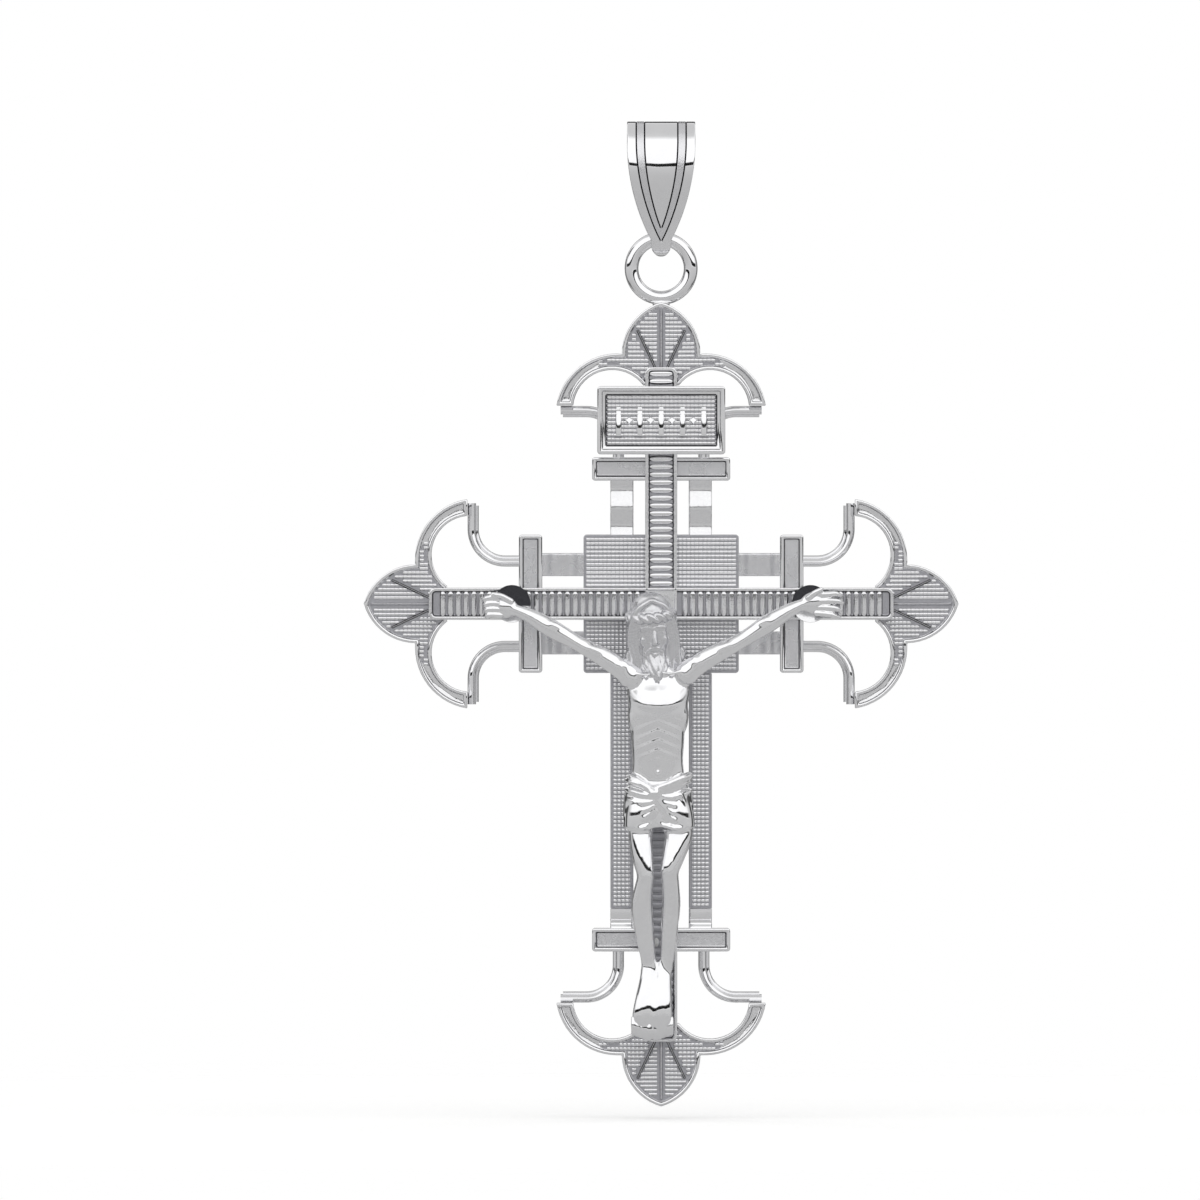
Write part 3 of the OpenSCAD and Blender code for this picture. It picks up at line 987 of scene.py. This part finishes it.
# ---------------------------------------------------------------- figure
# The cast figure: one body with long wavy hair, a short beard, a twisted band round the brow and
# a knotted loincloth. It is lost-wax cast in one piece; the body is polished bright, the head tumbled.

# How fine the metal skin is: over the body, and over the head, fingers and toes.
BODY_VOXEL = 0.064
FINE_VOXEL = 0.041


def at(x, depth, z):
    """A place on the figure in mm: across, forward from the flat back, and up from the crossing."""
    return Vector((x, BACK - depth, z + CROSSING))


def smooth_line(stations, steps):
    """Run a smooth line through stations, each a row of numbers."""
    rows = np.array(stations, dtype=float)
    padded = np.vstack([2 * rows[0] - rows[1], rows, 2 * rows[-1] - rows[-2]])
    line = []
    for i in range(1, len(padded) - 2):
        a, b, c, d = padded[i - 1:i + 3]
        for step in range(steps):
            t = step / steps
            line.append(0.5 * (2 * b + (c - a) * t + (2 * a - 5 * b + 4 * c - d) * t ** 2
                               + (3 * b - a - 3 * c + d) * t ** 3))
    line.append(padded[-2])
    return np.array(line)


def limb(stations, sides=20, steps=6, place=at, caps=4, dome=1.0):
    """A dome-ended tube through stations of (across, forward, up, half width, half depth)."""
    line = smooth_line(stations, steps)
    centres = np.array([tuple(place(*row[:3])) for row in line])
    along = np.gradient(centres, axis=0)
    along /= np.linalg.norm(along, axis=1)[:, None]
    forward = np.array(tuple(place(0, 1, 0) - place(0, 0, 0)))
    turn = np.linspace(0, 2 * math.pi, sides, endpoint=False)
    rows = [(0, share) for share in np.linspace(-1, 0, caps, endpoint=False)]
    rows += [(i, 0) for i in range(len(line))]
    rows += [(len(line) - 1, share) for share in np.linspace(0, 1, caps + 1)[1:]]
    rings = []
    for i, share in rows:
        side = np.cross(along[i], forward)
        side /= np.linalg.norm(side)
        front = np.cross(side, along[i])
        wide, deep = line[i, 3], line[i, 4]
        size = math.sqrt(max(0.0004, 1 - share * share))
        middle = centres[i] + along[i] * share * dome * min(wide, deep)
        ring = np.cos(turn)[:, None] * side * wide + np.sin(turn)[:, None] * front * deep
        rings.append(middle + size * ring)
    count = len(rings) * sides
    faces = []
    for r in range(0, count - sides, sides):
        for k in range(sides):
            n = (k + 1) % sides
            faces.append((r + k, r + n, r + sides + n, r + sides + k))
    faces.append(tuple(range(sides))[::-1])
    faces.append(tuple(range(count - sides, count)))
    return from_points("limb", np.vstack(rings), faces)


def limbs(sides, *lines, place=at):
    """Several tubes with the same number of sides."""
    return [limb(line, sides, place=place) for line in lines]


def ball(middle, radii, turn=0.0, place=at):
    """An egg of muscle or bone, turned about the forward axis by an angle in degrees."""
    piece = primitive("uv_sphere", "ball", segments=20, ring_count=12, radius=1, scale=radii)
    piece.data.transform(Matrix.Rotation(math.radians(turn), 4, "Y"))
    origin = place(0, 0, 0)
    axes = Matrix((place(1, 0, 0) - origin, origin - place(0, 1, 0), place(0, 0, 1) - origin))
    piece.data.transform(Matrix.Translation(place(*middle)) @ axes.transposed().to_4x4())
    return piece


def muscles(side, line, *rows):
    """Eggs beside stations of a limb: (station, shift outwards, forward and up, radii, turn)."""
    parts = []
    for station, (out, forward, up), radii, turn in rows:
        x, depth, z = line[station][:3]
        parts.append(ball((x + side * out, depth + forward, z + up), radii, side * turn))
    return parts


def cast(name, parts, voxel, rounds):
    """Melt overlapping parts into one skin and smooth it."""
    piece = join(name, parts)
    point_outwards(piece)
    apply_modifier(piece, "REMESH", mode="VOXEL", voxel_size=voxel)
    return apply_modifier(piece, "SMOOTH", factor=0.5, iterations=rounds)


def torso():
    """Chest and waist, with shoulders, flanks, collar bones and the cords of the neck."""
    middle = -0.15
    parts = [limb([
        (-0.2, 2.72, -3.0, 0.6, 0.40), (-0.15, 2.62, -3.45, 1.15, 0.56),
        (-0.13, 2.62, -4.0, 1.46, 0.72), (-0.15, 2.72, -4.6, 1.42, 0.84),
        (-0.16, 2.74, -5.05, 1.34, 0.92), (-0.16, 2.70, -5.6, 1.27, 0.88),
        (-0.17, 2.62, -6.5, 1.24, 0.80), (-0.17, 2.54, -7.4, 1.19, 0.72),
        (-0.15, 2.46, -8.3, 1.27, 0.68), (-0.15, 2.42, -9.6, 1.40, 0.66),
    ], 40, dome=0.4)]
    for side, lift in ((-1, 0.0), (1, 0.12)):
        parts += [
            ball((middle + side * 1.32, 2.8, -3.4 + lift), (0.58, 0.54, 0.54)),
            ball((middle + side * 1.1, 2.7, -5.2), (0.34, 0.5, 0.9)),
        ] + limbs(
            10,
            [(middle, 3.08, -3.15, 0.06, 0.06),
             (middle + side * 0.6, 3.25, -3.33 + lift / 2, 0.08, 0.08),
             (middle + side * 1.3, 3.22, -3.2 + lift, 0.09, 0.08)],
            [(-0.35 + side * 0.12, 3.0, -2.7, 0.14, 0.14), (middle + side * 0.1, 3.18, -3.3, 0.1, 0.1)],
        )
    return parts


def arms():
    """Both arms, with biceps, shoulder muscles, forearms and elbows."""
    left = [
        (-1.3, 2.82, -3.45, 0.55, 0.52), (-2.1, 2.85, -2.87, 0.5, 0.46), (-3.0, 2.78, -2.32, 0.44, 0.42),
        (-4.05, 2.62, -1.76, 0.37, 0.36), (-5.2, 2.52, -1.12, 0.44, 0.38),
        (-6.05, 2.44, -0.62, 0.36, 0.32), (-6.8, 2.38, -0.28, 0.27, 0.24),
    ]
    right = [
        (1.1, 2.82, -3.3, 0.55, 0.52), (1.9, 2.85, -2.7, 0.5, 0.46), (2.85, 2.78, -2.18, 0.44, 0.42),
        (3.9, 2.62, -1.62, 0.37, 0.36), (5.0, 2.52, -0.93, 0.44, 0.38),
        (5.85, 2.44, -0.4, 0.36, 0.32), (6.55, 2.38, -0.04, 0.27, 0.24),
    ]
    parts = limbs(24, left, right)
    for side, line in ((-1, left), (1, right)):
        parts += muscles(
            side, line,
            (2, (0, 0.14, 0.08), (0.62, 0.34, 0.26), -30), (1, (-0.25, 0.1, -0.08), (0.55, 0.42, 0.42), -35),
            (4, (-0.25, 0.12, 0.04), (0.6, 0.3, 0.24), -30), (3, (0, 0.1, -0.18), (0.22, 0.22, 0.18), 0),
        )
    return parts


def palms():
    """The backs of both hands, each over its peg."""
    return [ball((-7.35, 2.34, -0.16), (0.66, 0.29, 0.52), 10),
            ball((7.15, 2.34, 0.06), (0.68, 0.29, 0.52), -12)]


def fingers():
    """Curled fingers on the left hand and open ones on the right, with both thumbs."""
    parts = []
    for i in range(4):
        low = 0.26 - i * 0.27
        high = 0.40 - i * 0.28
        tip = 0.07 * (1.5 - i)
        parts += limbs(
            14,
            [(-7.5, 2.44, low, 0.15, 0.14), (-8.0, 2.58, low + 0.03, 0.14, 0.14),
             (-8.28 + i * 0.04, 2.48, low - 0.05, 0.13, 0.13), (-8.1, 2.30, low - 0.07, 0.11, 0.11)],
            [(7.25, 2.44, high, 0.15, 0.14), (7.85, 2.52, high + tip * 0.5, 0.14, 0.13),
             (8.25 - abs(i - 1) * 0.06, 2.44, high + tip - 0.04, 0.13, 0.12),
             (8.48 - abs(i - 1) * 0.08, 2.32, high + tip - 0.12, 0.1, 0.1)],
        )
    return parts + limbs(
        14,
        [(-7.05, 2.5, 0.1, 0.18, 0.16), (-7.5, 2.64, 0.36, 0.14, 0.13), (-7.9, 2.62, 0.44, 0.12, 0.11)],
        [(6.9, 2.5, 0.25, 0.18, 0.16), (7.2, 2.64, 0.52, 0.13, 0.13), (7.5, 2.62, 0.68, 0.11, 0.1)],
    )


def legs():
    """Both legs from hip to ankle, with kneecaps, shins, calves, thighs and ankle bones."""
    left = [
        (-0.8, 2.45, -9.6, 0.7, 0.62), (-0.96, 2.75, -10.7, 0.58, 0.56), (-0.88, 3.0, -11.8, 0.51, 0.50),
        (-0.74, 3.12, -12.7, 0.41, 0.42), (-0.82, 2.98, -13.3, 0.44, 0.40),
        (-0.90, 2.72, -14.1, 0.52, 0.46), (-0.78, 2.56, -15.4, 0.46, 0.38),
        (-0.6, 2.42, -16.6, 0.37, 0.30), (-0.57, 2.4, -17.3, 0.36, 0.28),
    ]
    right = [
        (0.5, 2.45, -9.6, 0.7, 0.62), (0.80, 2.75, -10.7, 0.68, 0.56), (0.60, 3.0, -11.7, 0.55, 0.52),
        (0.39, 3.14, -12.5, 0.44, 0.43), (0.42, 3.0, -13.1, 0.42, 0.40),
        (0.46, 2.74, -14.1, 0.44, 0.46), (0.37, 2.6, -15.4, 0.40, 0.38),
        (0.27, 2.48, -16.6, 0.33, 0.30), (0.16, 2.45, -17.3, 0.33, 0.28),
    ]
    parts = limbs(24, left, right)
    for side, line in ((-1, left), (1, right)):
        knee, calf, shin = line[3], line[5], line[6]
        parts += muscles(side, line, (3, (0, 0.22, -0.02), (0.24, 0.22, 0.27), 0))
        parts += limbs(10, [
            (knee[0], knee[1] + 0.2, knee[2] - 0.35, 0.08, 0.09),
            (calf[0] - side * 0.04, calf[1] + 0.28, -14.4, 0.07, 0.1),
            (shin[0], shin[1] + 0.2, -15.8, 0.05, 0.08),
        ])
        parts += muscles(
            side, line,
            (5, (0.16, -0.05, 0.1), (0.28, 0.36, 0.7), 0), (1, (0.08, 0.12, -0.5), (0.36, 0.4, 0.85), 0),
            (8, (0.17, 0, 0.12), (0.14, 0.16, 0.16), 0), (8, (-0.15, 0, 0.18), (0.13, 0.15, 0.15), 0),
        )
    return parts


def feet():
    """Both feet side by side, their insteps sloping forward to a broad block of toes."""
    parts = limbs(
        28,
        [(-0.58, 2.38, -16.9, 0.35, 0.28), (-0.62, 2.48, -17.6, 0.40, 0.32),
         (-0.72, 2.74, -18.5, 0.50, 0.34), (-0.80, 2.80, -19.3, 0.56, 0.34),
         (-0.78, 2.68, -20.05, 0.52, 0.30)],
        [(0.15, 2.42, -16.9, 0.33, 0.28), (0.10, 2.52, -17.6, 0.38, 0.32),
         (0.02, 2.80, -18.5, 0.48, 0.34), (-0.04, 2.86, -19.3, 0.55, 0.34),
         (-0.06, 2.74, -20.05, 0.50, 0.30)],
    )
    block_of_toes = [(-0.3, 2.4, -18.0, 0.5, 0.4), (-0.40, 2.60, -19.0, 0.86, 0.46),
                     (-0.42, 2.50, -20.05, 0.88, 0.42)]
    return parts + [limb(block_of_toes, 28, dome=0.6)]


def toes():
    """Five toes on each foot, side by side along the lower edge."""
    parts = []
    for side in (-1, 1):
        for i in range(5):
            size = 0.15 - i * 0.012
            x = -0.42 + side * (0.16 + i * 0.185)
            drop = 0.05 * i
            parts += limbs(14, [(x, 2.86, -19.4, size, size), (x, 2.93, -20.0 + drop, size, size),
                                (x, 2.80, -20.34 + drop, size * 0.95, size * 0.9)])
    return parts


def loincloth():
    """Cloth wound round the hips: a rolled upper edge, folds slung across and a hanging end."""
    parts = [limb([(-0.15, 2.42, -8.25, 1.3, 0.68), (-0.15, 2.45, -8.9, 1.58, 0.86),
                   (-0.14, 2.48, -9.7, 1.66, 0.92), (-0.12, 2.48, -10.45, 1.62, 0.88)], 40, dome=0.12)]
    for side in (-1, 1):
        parts.append(limb([
            (-0.1 + side * 0.6, 2.5, -8.9, 0.8, 0.8), (-0.1 + side * 0.78, 2.55, -9.8, 0.84, 0.86),
            (-0.08 + side * 0.84, 2.52, -10.5, 0.84, 0.86),
        ], 32, dome=0.15))
    parts += limbs(12, [
        (-1.72, 2.4, -10.4, 0.1, 0.1), (-1.3, 3.12, -10.5, 0.11, 0.1), (-0.85, 3.36, -10.5, 0.11, 0.1),
        (-0.38, 3.2, -10.16, 0.11, 0.1), (0.1, 3.34, -10.38, 0.11, 0.1), (0.75, 3.38, -10.52, 0.11, 0.1),
        (1.2, 3.05, -10.5, 0.11, 0.1), (1.52, 2.4, -10.45, 0.1, 0.1),
    ])
    for i in range(5):
        drop = i * 0.38
        parts += limbs(
            12,
            [(-1.62, 2.6, -8.25 - drop * 1.1, 0.13, 0.14), (-1.35, 3.02, -8.35 - drop * 1.15, 0.13, 0.14),
             (-0.85, 3.3, -8.55 - drop, 0.12, 0.13), (-0.34, 3.42, -8.83 - drop * 0.55, 0.1, 0.12)],
            [(-0.29, 3.4, -8.83 - drop * 0.2, 0.1, 0.12),
             (0.3 + i * 0.06, 3.36, -8.72 - drop * 0.9, 0.12, 0.13),
             (0.9, 3.1, -8.5 - drop * 1.15, 0.13, 0.14), (1.35, 2.6, -8.3 - drop * 1.2, 0.13, 0.14)],
        )
    parts += limbs(
        16,
        [(-0.45, 3.36, -8.75, 0.15, 0.15), (0.2, 3.42, -8.5, 0.19, 0.17), (0.85, 3.2, -8.2, 0.2, 0.18),
         (1.32, 2.75, -8.02, 0.17, 0.17)],
        [(-0.45, 3.36, -8.75, 0.15, 0.15), (-0.95, 3.2, -8.35, 0.16, 0.16),
         (-1.45, 2.75, -8.08, 0.15, 0.15)],
    )
    parts.append(ball((-0.32, 3.46, -8.86), (0.24, 0.2, 0.2)))
    for i in range(4):
        x = 0.25 + i * 0.3
        parts += limbs(12, [
            (x - 0.25, 3.38 - i * 0.05, -8.9, 0.1, 0.1), (x - 0.05, 3.4 - i * 0.1, -9.6, 0.12, 0.13),
            (x, 3.25 - i * 0.14, -10.45 + i * 0.06, 0.14, 0.13),
        ])
    return parts


# The head is a little longer than wide, leans to one side, is turned and is bowed.
HEAD_LENGTH = 1.2
HEAD_MIDDLE = at(-0.42, 2.76, -1.22)
HEAD_TURN = (Matrix.Rotation(math.radians(-5), 3, "Y") @ Matrix.Rotation(math.radians(6), 3, "Z")
             @ Matrix.Rotation(math.radians(12), 3, "X"))


def on_head(across, forward, up):
    """A place on the head, measured from the middle of the skull before the head is bowed."""
    return HEAD_MIDDLE + HEAD_TURN @ Vector((across, -forward, up * HEAD_LENGTH))


def face():
    """A calm, plain face on classical proportions: eyes half way down, closed under a soft brow."""
    parts = [
        ball((0, -0.12, 0.42), (0.88, 0.84, 0.98), place=on_head),
        ball((0, 0.12, -0.22), (0.74, 0.60, 0.96), place=on_head),
        ball((0, 0.20, -0.90), (0.46, 0.44, 0.40), place=on_head),
    ]
    brow = [(-0.52, 0.46, 0.12, 0.13, 0.10), (-0.26, 0.60, 0.19, 0.12, 0.10), (0, 0.64, 0.16, 0.11, 0.09),
            (0.26, 0.60, 0.19, 0.12, 0.10), (0.52, 0.46, 0.12, 0.13, 0.10)]
    nose = [(0, 0.60, 0.16, 0.11, 0.10), (0, 0.72, -0.15, 0.12, 0.12), (0, 0.82, -0.42, 0.14, 0.12)]
    upper_lip = [(-0.2, 0.60, -0.74, 0.05, 0.05), (0, 0.67, -0.71, 0.06, 0.06),
                 (0.2, 0.60, -0.74, 0.05, 0.05)]
    lower_lip = [(-0.16, 0.58, -0.85, 0.06, 0.06), (0, 0.65, -0.87, 0.07, 0.06),
                 (0.16, 0.58, -0.85, 0.06, 0.06)]
    parts += limbs(12, brow, place=on_head)
    parts += limbs(14, nose, place=on_head)
    parts += limbs(10, upper_lip, lower_lip, place=on_head)
    for side in (-1, 1):
        moustache = [(side * 0.03, 0.70, -0.60, 0.06, 0.05), (side * 0.2, 0.66, -0.65, 0.075, 0.06),
                     (side * 0.40, 0.50, -0.86, 0.05, 0.05)]
        parts += [
            ball((side * 0.12, 0.69, -0.45), (0.10, 0.10, 0.075), place=on_head),
            ball((side * 0.40, 0.42, -0.36), (0.27, 0.22, 0.26), place=on_head),
            ball((side * 0.30, 0.53, -0.04), (0.17, 0.11, 0.10), place=on_head),
        ] + limbs(10, moustache, place=on_head)
    return parts


def beard():
    """A short full beard of wavy locks that parts a little at the chin and lies on the chest."""
    parts = [ball((0, 0.40, -1.40), (0.50, 0.38, 0.48), place=on_head)]
    for i in range(9):
        lean = (i - 4) / 4
        wave = 0.05 * (-1) ** i
        depth = 0.54 - 0.34 * lean * lean
        parts += limbs(10, [
            (0.60 * lean, depth - 0.1 + 0.1 * abs(lean), -0.72 + 0.38 * abs(lean), 0.09, 0.09),
            (0.60 * lean + wave, depth + 0.14, -1.1, 0.115, 0.1),
            (0.50 * lean - wave, depth + 0.36, -1.5, 0.105, 0.1),
            (0.32 * lean + wave * 0.6, depth + 0.50, -1.9 + 0.3 * abs(lean), 0.06, 0.06),
        ], place=on_head)
    return parts


def hair():
    """Long hair, parted in the middle, that falls in waves to the shoulders."""
    parts = [ball((0, -0.22, 0.48), (1.06, 0.86, 1.0), place=on_head),
             ball((0, -0.20, -0.55), (1.04, 0.58, 1.25), place=on_head)]
    for side in (-1, 1):
        parts += limbs(14, [
            (side * 0.62, 0.36, 0.62, 0.18, 0.16), (side * 0.80, 0.28, 0.1, 0.20, 0.18),
            (side * 0.82, 0.24, -0.6, 0.20, 0.2), (side * 0.78, 0.22, -1.2, 0.24, 0.24),
            (side * 0.74, 0.18, -1.9, 0.26, 0.24),
        ], place=on_head)
    for side, longer, wider in ((-1, 0.1, 0.0), (1, 0.0, 0.10)):
        for i in range(7):
            back = i / 6
            fall = -2.0 - 0.25 * (1 - back) + longer
            spread = 1.0 + 0.12 * math.sin(2.5 * i) + wider
            wave = 0.08 * (-1) ** i
            parts += limbs(10, [
                (side * 0.05, 0.50 - 0.95 * back, 1.24 - 0.05 * back, 0.11, 0.1),
                (side * 0.66, 0.48 - 0.95 * back, 0.92, 0.13, 0.12),
                (side * 1.02, 0.34 - 0.8 * back, 0.25, 0.14, 0.13),
                (side * (1.02 + wave), 0.28 - 0.7 * back, -0.4, 0.15, 0.13),
                (side * (1.06 * spread - wave), 0.34 - 0.65 * back, -1.0, 0.15, 0.13),
                (side * (0.96 * spread + wave), 0.36 - 0.6 * back, -1.55, 0.14, 0.12),
                (side * (0.86 * spread - wave), 0.30 - 0.5 * back, fall, 0.07, 0.08),
            ], place=on_head)
    return parts


def brow_band():
    """Two rough stems twisted into a band round the brow."""
    parts = []
    for strand in (0, math.pi):
        ring = []
        for step in range(49):
            angle = step * 2 * math.pi / 48
            twist = 8 * angle + strand
            out = 1.0 + 0.08 * math.cos(twist)
            ring.append((1.04 * out * math.cos(angle), 0.93 * out * math.sin(angle) - 0.18,
                         0.54 + 0.12 * math.sin(twist) + 0.04 * math.sin(angle), 0.135, 0.13))
        parts.append(limb(ring, 10, steps=2, place=on_head, caps=1))
    return parts


def fade(values, width):
    """Rise from 0 to 1 over a width."""
    return np.clip(values / width, 0, 1)


def model_chest(piece):
    """Press the breast muscles, ribs, midline and navel into the front of the body."""
    count = len(piece.data.vertices)
    spots = np.empty(count * 3)
    normals = np.empty(count * 3)
    piece.data.vertices.foreach_get("co", spots)
    piece.data.vertices.foreach_get("normal", normals)
    spots = spots.reshape(-1, 3)
    front = np.clip(-normals.reshape(-1, 3)[:, 1], 0, 1) ** 2
    x = spots[:, 0] + 0.16
    z = spots[:, 2] - CROSSING
    wide = np.abs(x)
    breast = 0.13 * np.exp(-((np.maximum(wide - 0.6, 0) / 0.55) ** 2 + ((z + 4.4) / 0.6) ** 2) ** 1.5)
    breast *= 1 / (1 + np.exp(-(z + 5.05 - 0.25 * wide ** 2) / 0.05))
    band = fade(z + 7.35, 0.3) * fade(-5.3 - z, 0.25) * fade(1.25 - wide, 0.4)
    ribs = 0.02 * band * np.cos(2 * np.pi * (z + 0.42 * wide + 5.5) / 0.46)
    midline = 0.03 * np.exp(-(x / 0.07) ** 2) * fade(-3.9 - z, 0.3) * fade(z + 8.0, 0.3)
    navel = 0.07 * np.exp(-((x / 0.09) ** 2 + ((z + 7.72) / 0.11) ** 2))
    in_torso = (wide < 1.8) & (z < -3.2) & (z > -8.15)
    spots[:, 1] -= np.where(in_torso, front * (breast + ribs - midline - navel), 0)
    piece.data.vertices.foreach_set("co", spots.ravel())


body = cast("figure_body", torso() + arms() + palms() + legs() + feet() + loincloth(), BODY_VOXEL, 7)
ends = cast("figure_fingers_and_toes", fingers() + toes(), FINE_VOXEL, 3)
head = cast("figure_head", face() + beard() + hair() + brow_band(), FINE_VOXEL, 3)
model_chest(body)
figure = join("cast_figure", [paint(body, polished), paint(ends, polished), paint(head, tumbled)])
finish_piece(figure, "corpus", smooth=180, weighted=False)


# ---------------------------------------------------------------- jump ring
# Round wire bent to a ring and soldered to the tip of the top finial, over which the solder
# has run in a small bright collar.

low, high = corners("jump_ring")
wire_radius = (high[1] - low[1]) / 2
ring_radius = (high[0] - low[0]) / 2 - wire_radius
ring_middle = high[2] - ring_radius - wire_radius
ring = primitive("torus", "jump_ring_wire", major_radius=ring_radius, minor_radius=wire_radius,
                 major_segments=128, minor_segments=32, rotation=(math.radians(90), 0, 0),
                 location=(0, (low[1] + high[1]) / 2, ring_middle))
solder = primitive("uv_sphere", "solder", segments=32, ring_count=16, radius=1,
                   scale=(0.42, wire_radius * 0.98, 0.24),
                   location=(0, (low[1] + high[1]) / 2, ring_middle - ring_radius - wire_radius * 0.75))
finish_piece(paint(join("soldered_jump_ring", [ring, solder]), polished), "jump_ring")


# ---------------------------------------------------------------- bail
# A tapered strap folded over the chain's eye and closed round the ring. Two engraved lines run
# down each side and meet in a point, with a sand-blasted band between them.

# The strap is this thick; its front bows forward to a reach, round a middle below the eye's.
STRAP = 0.4
FOOT_OUTER = 0.9
FRONT_REACH = 1.46
FRONT_MIDDLE = -0.6
# Seen from the front its sides are arcs below a shoulder, and its foot is a round tongue.
SIDE_ARC = 9.92
SHOULDER = 0.6
FOOT_HALF = 0.47
FOOT_ROUND = -4.2
# The engraved lines: how deep and wide, how far from the middle at the top, and where each pair meets.
GROOVE = 0.04
LINE_HALF = 0.035
OUTER_LINE = 1.17
INNER_LINE = 0.78
OUTER_POINT = -4.0
INNER_POINT = -3.4

low, high = corners("bail")
eye_radius = high[2] - STRAP / 2
foot_radius = FOOT_OUTER - STRAP / 2
rise = -(low[2] + FOOT_OUTER)
lean = math.asin((eye_radius - foot_radius) / rise)


def bend(start, leaving, end, arriving, steps):
    """Points of a leg of the strap, from just past its start to its end."""
    points = []
    for step in range(1, steps + 1):
        t = step / steps
        points.append(tuple(start * (1 - t) ** 3 + (start + leaving) * 3 * t * (1 - t) ** 2
                            + (end - arriving) * 3 * t * t * (1 - t) + end * t ** 3))
    return points


def bail_loop():
    """Middle line of the strap from the side: points (y, z) and their outward normals."""
    foot = []
    for step in range(13):
        angle = -math.pi / 2 - step * (math.pi / 2 - lean) / 12
        foot.append((foot_radius * math.cos(angle), -rise + foot_radius * math.sin(angle)))
    up = Vector((-math.sin(lean), math.cos(lean)))
    points = foot + bend(Vector(foot[-1]), up, Vector((-FRONT_REACH, FRONT_MIDDLE)), Vector((0, 1)), 36)
    for step in range(1, 25):
        angle = step * math.pi / 48
        points.append((-FRONT_REACH * math.cos(angle),
                       FRONT_MIDDLE + (eye_radius - FRONT_MIDDLE) * math.sin(angle)))
    for step in range(1, 15):
        angle = math.pi / 2 - step * math.pi / 28
        points.append((eye_radius * math.cos(angle), eye_radius * math.sin(angle)))
    down = Vector((-up.x, up.y))
    foot_back = [(-y, z) for y, z in foot[::-1]]
    points += bend(Vector((eye_radius, 0)), Vector((0, -1)), Vector(foot_back[0]), -down, 36)
    points = np.array(points + foot_back[1:])
    slopes = np.gradient(points, axis=0)
    slopes[0] = slopes[-1] = points[1] - points[-2]
    slopes /= np.linalg.norm(slopes, axis=1)[:, None]
    return [(y, z, -dz, dy) for (y, z), (dy, dz) in zip(points.tolist(), slopes.tolist())]


def half_width(z):
    """Half of the strap's width at a height, seen from the front: bowed sides, then a round tongue."""
    drop = min(z, SHOULDER) - SHOULDER
    side = high[0] - SIDE_ARC + math.sqrt(SIDE_ARC ** 2 - drop ** 2)
    below = max(0.0, FOOT_ROUND - z) / (FOOT_ROUND - low[2] + 0.02)
    return max(side if below == 0 else 0, FOOT_HALF * math.sqrt(1 - below ** 2))


def line_at(z, top_gap, point_z):
    """How far an engraved line is from the middle at a height; it meets its twin at point_z."""
    share = min(1.0, max(0.0, (z - point_z) / (SHOULDER - point_z)))
    return top_gap * math.sin(share * math.pi / 2) ** 0.85


def bail_columns(z, outer_z):
    """Where the strap's columns of points lie across it, and which of them are cut into it."""
    width = half_width(outer_z)
    outer = max(min(line_at(z, OUTER_LINE, OUTER_POINT), width - 0.14), LINE_HALF)
    inner = max(line_at(z, INNER_LINE, INNER_POINT), LINE_HALF)
    space = outer - LINE_HALF
    inner_line = [inner - LINE_HALF, inner, inner + LINE_HALF]
    if inner_line[-1] > space:
        inner_line = [space * 0.25, space * 0.5, space * 0.75]
    half = [(0.0, 0), (inner_line[0], 0), (inner_line[1], 1), (inner_line[2], 0),
            (space, 0), (outer, 2), (outer + LINE_HALF, 0), (width, 0)]
    return [(-x, cut) for x, cut in half[:0:-1]] + half


def strap_face(name, loop, out, groove):
    """One face of the strap, the middle line moved out by a distance, with the lines cut into it."""
    columns = len(bail_columns(0, 0))
    face = primitive("grid", name, x_subdivisions=columns - 1, y_subdivisions=len(loop) - 1, size=1)
    spots = []
    for y, z, ny, nz in loop:
        for x, cut in bail_columns(z, z + nz * STRAP / 2):
            is_cut = (cut == 1 and z > INNER_POINT) or (cut == 2 and z > OUTER_POINT)
            reach = out - (groove if is_cut else 0)
            spots.append((x, y + ny * reach, z + nz * reach))
    for vertex, spot in zip(face.data.vertices, spots):
        vertex.co = spot
    return paint(face, polished, satin, shadowed)


def colour_lines(face, columns):
    """Paint shade into the cut lines and blast the band between each pair of them."""
    in_half = columns // 2
    for number, tile in enumerate(face.data.polygons):
        strip = number % columns
        strip = strip - in_half if strip >= in_half else in_half - 1 - strip
        z = tile.center.z
        in_line = (strip in (1, 2) and z > INNER_POINT) or (strip in (4, 5) and z > OUTER_POINT)
        in_band = z > OUTER_POINT + 0.1 and (strip == 3 or (strip < 3 and z < INNER_POINT))
        tile.material_index = 2 if in_line else 1 if in_band else 0
    return face


loop = bail_loop()
outside = strap_face("strap_outside", loop, STRAP / 2, GROOVE)
colour_lines(outside, len(bail_columns(0, 0)) - 1)
strap = join("engraved_bail", [outside, strap_face("strap_inside", loop, -STRAP / 2, 0)])
choose(strap, "VERT", lambda vertex: True)
bpy.ops.mesh.remove_doubles(threshold=0.0005)
for side in (-1, 1):
    choose(strap, "EDGE", lambda edge: edge.is_boundary and edge.verts[0].co.x * side > 0)
    bpy.ops.mesh.bridge_edge_loops()
point_outwards(strap)
choose(strap, "EDGE", lambda edge: edge.calc_face_angle(0) > math.radians(60) and abs(edge.verts[0].co.x)
       > 0.9 * half_width(edge.verts[0].co.z))
bpy.ops.mesh.bevel(offset=0.05, segments=3)
leave()
finish_piece(strap, "bail", body="bail", smooth=30, weighted=False)
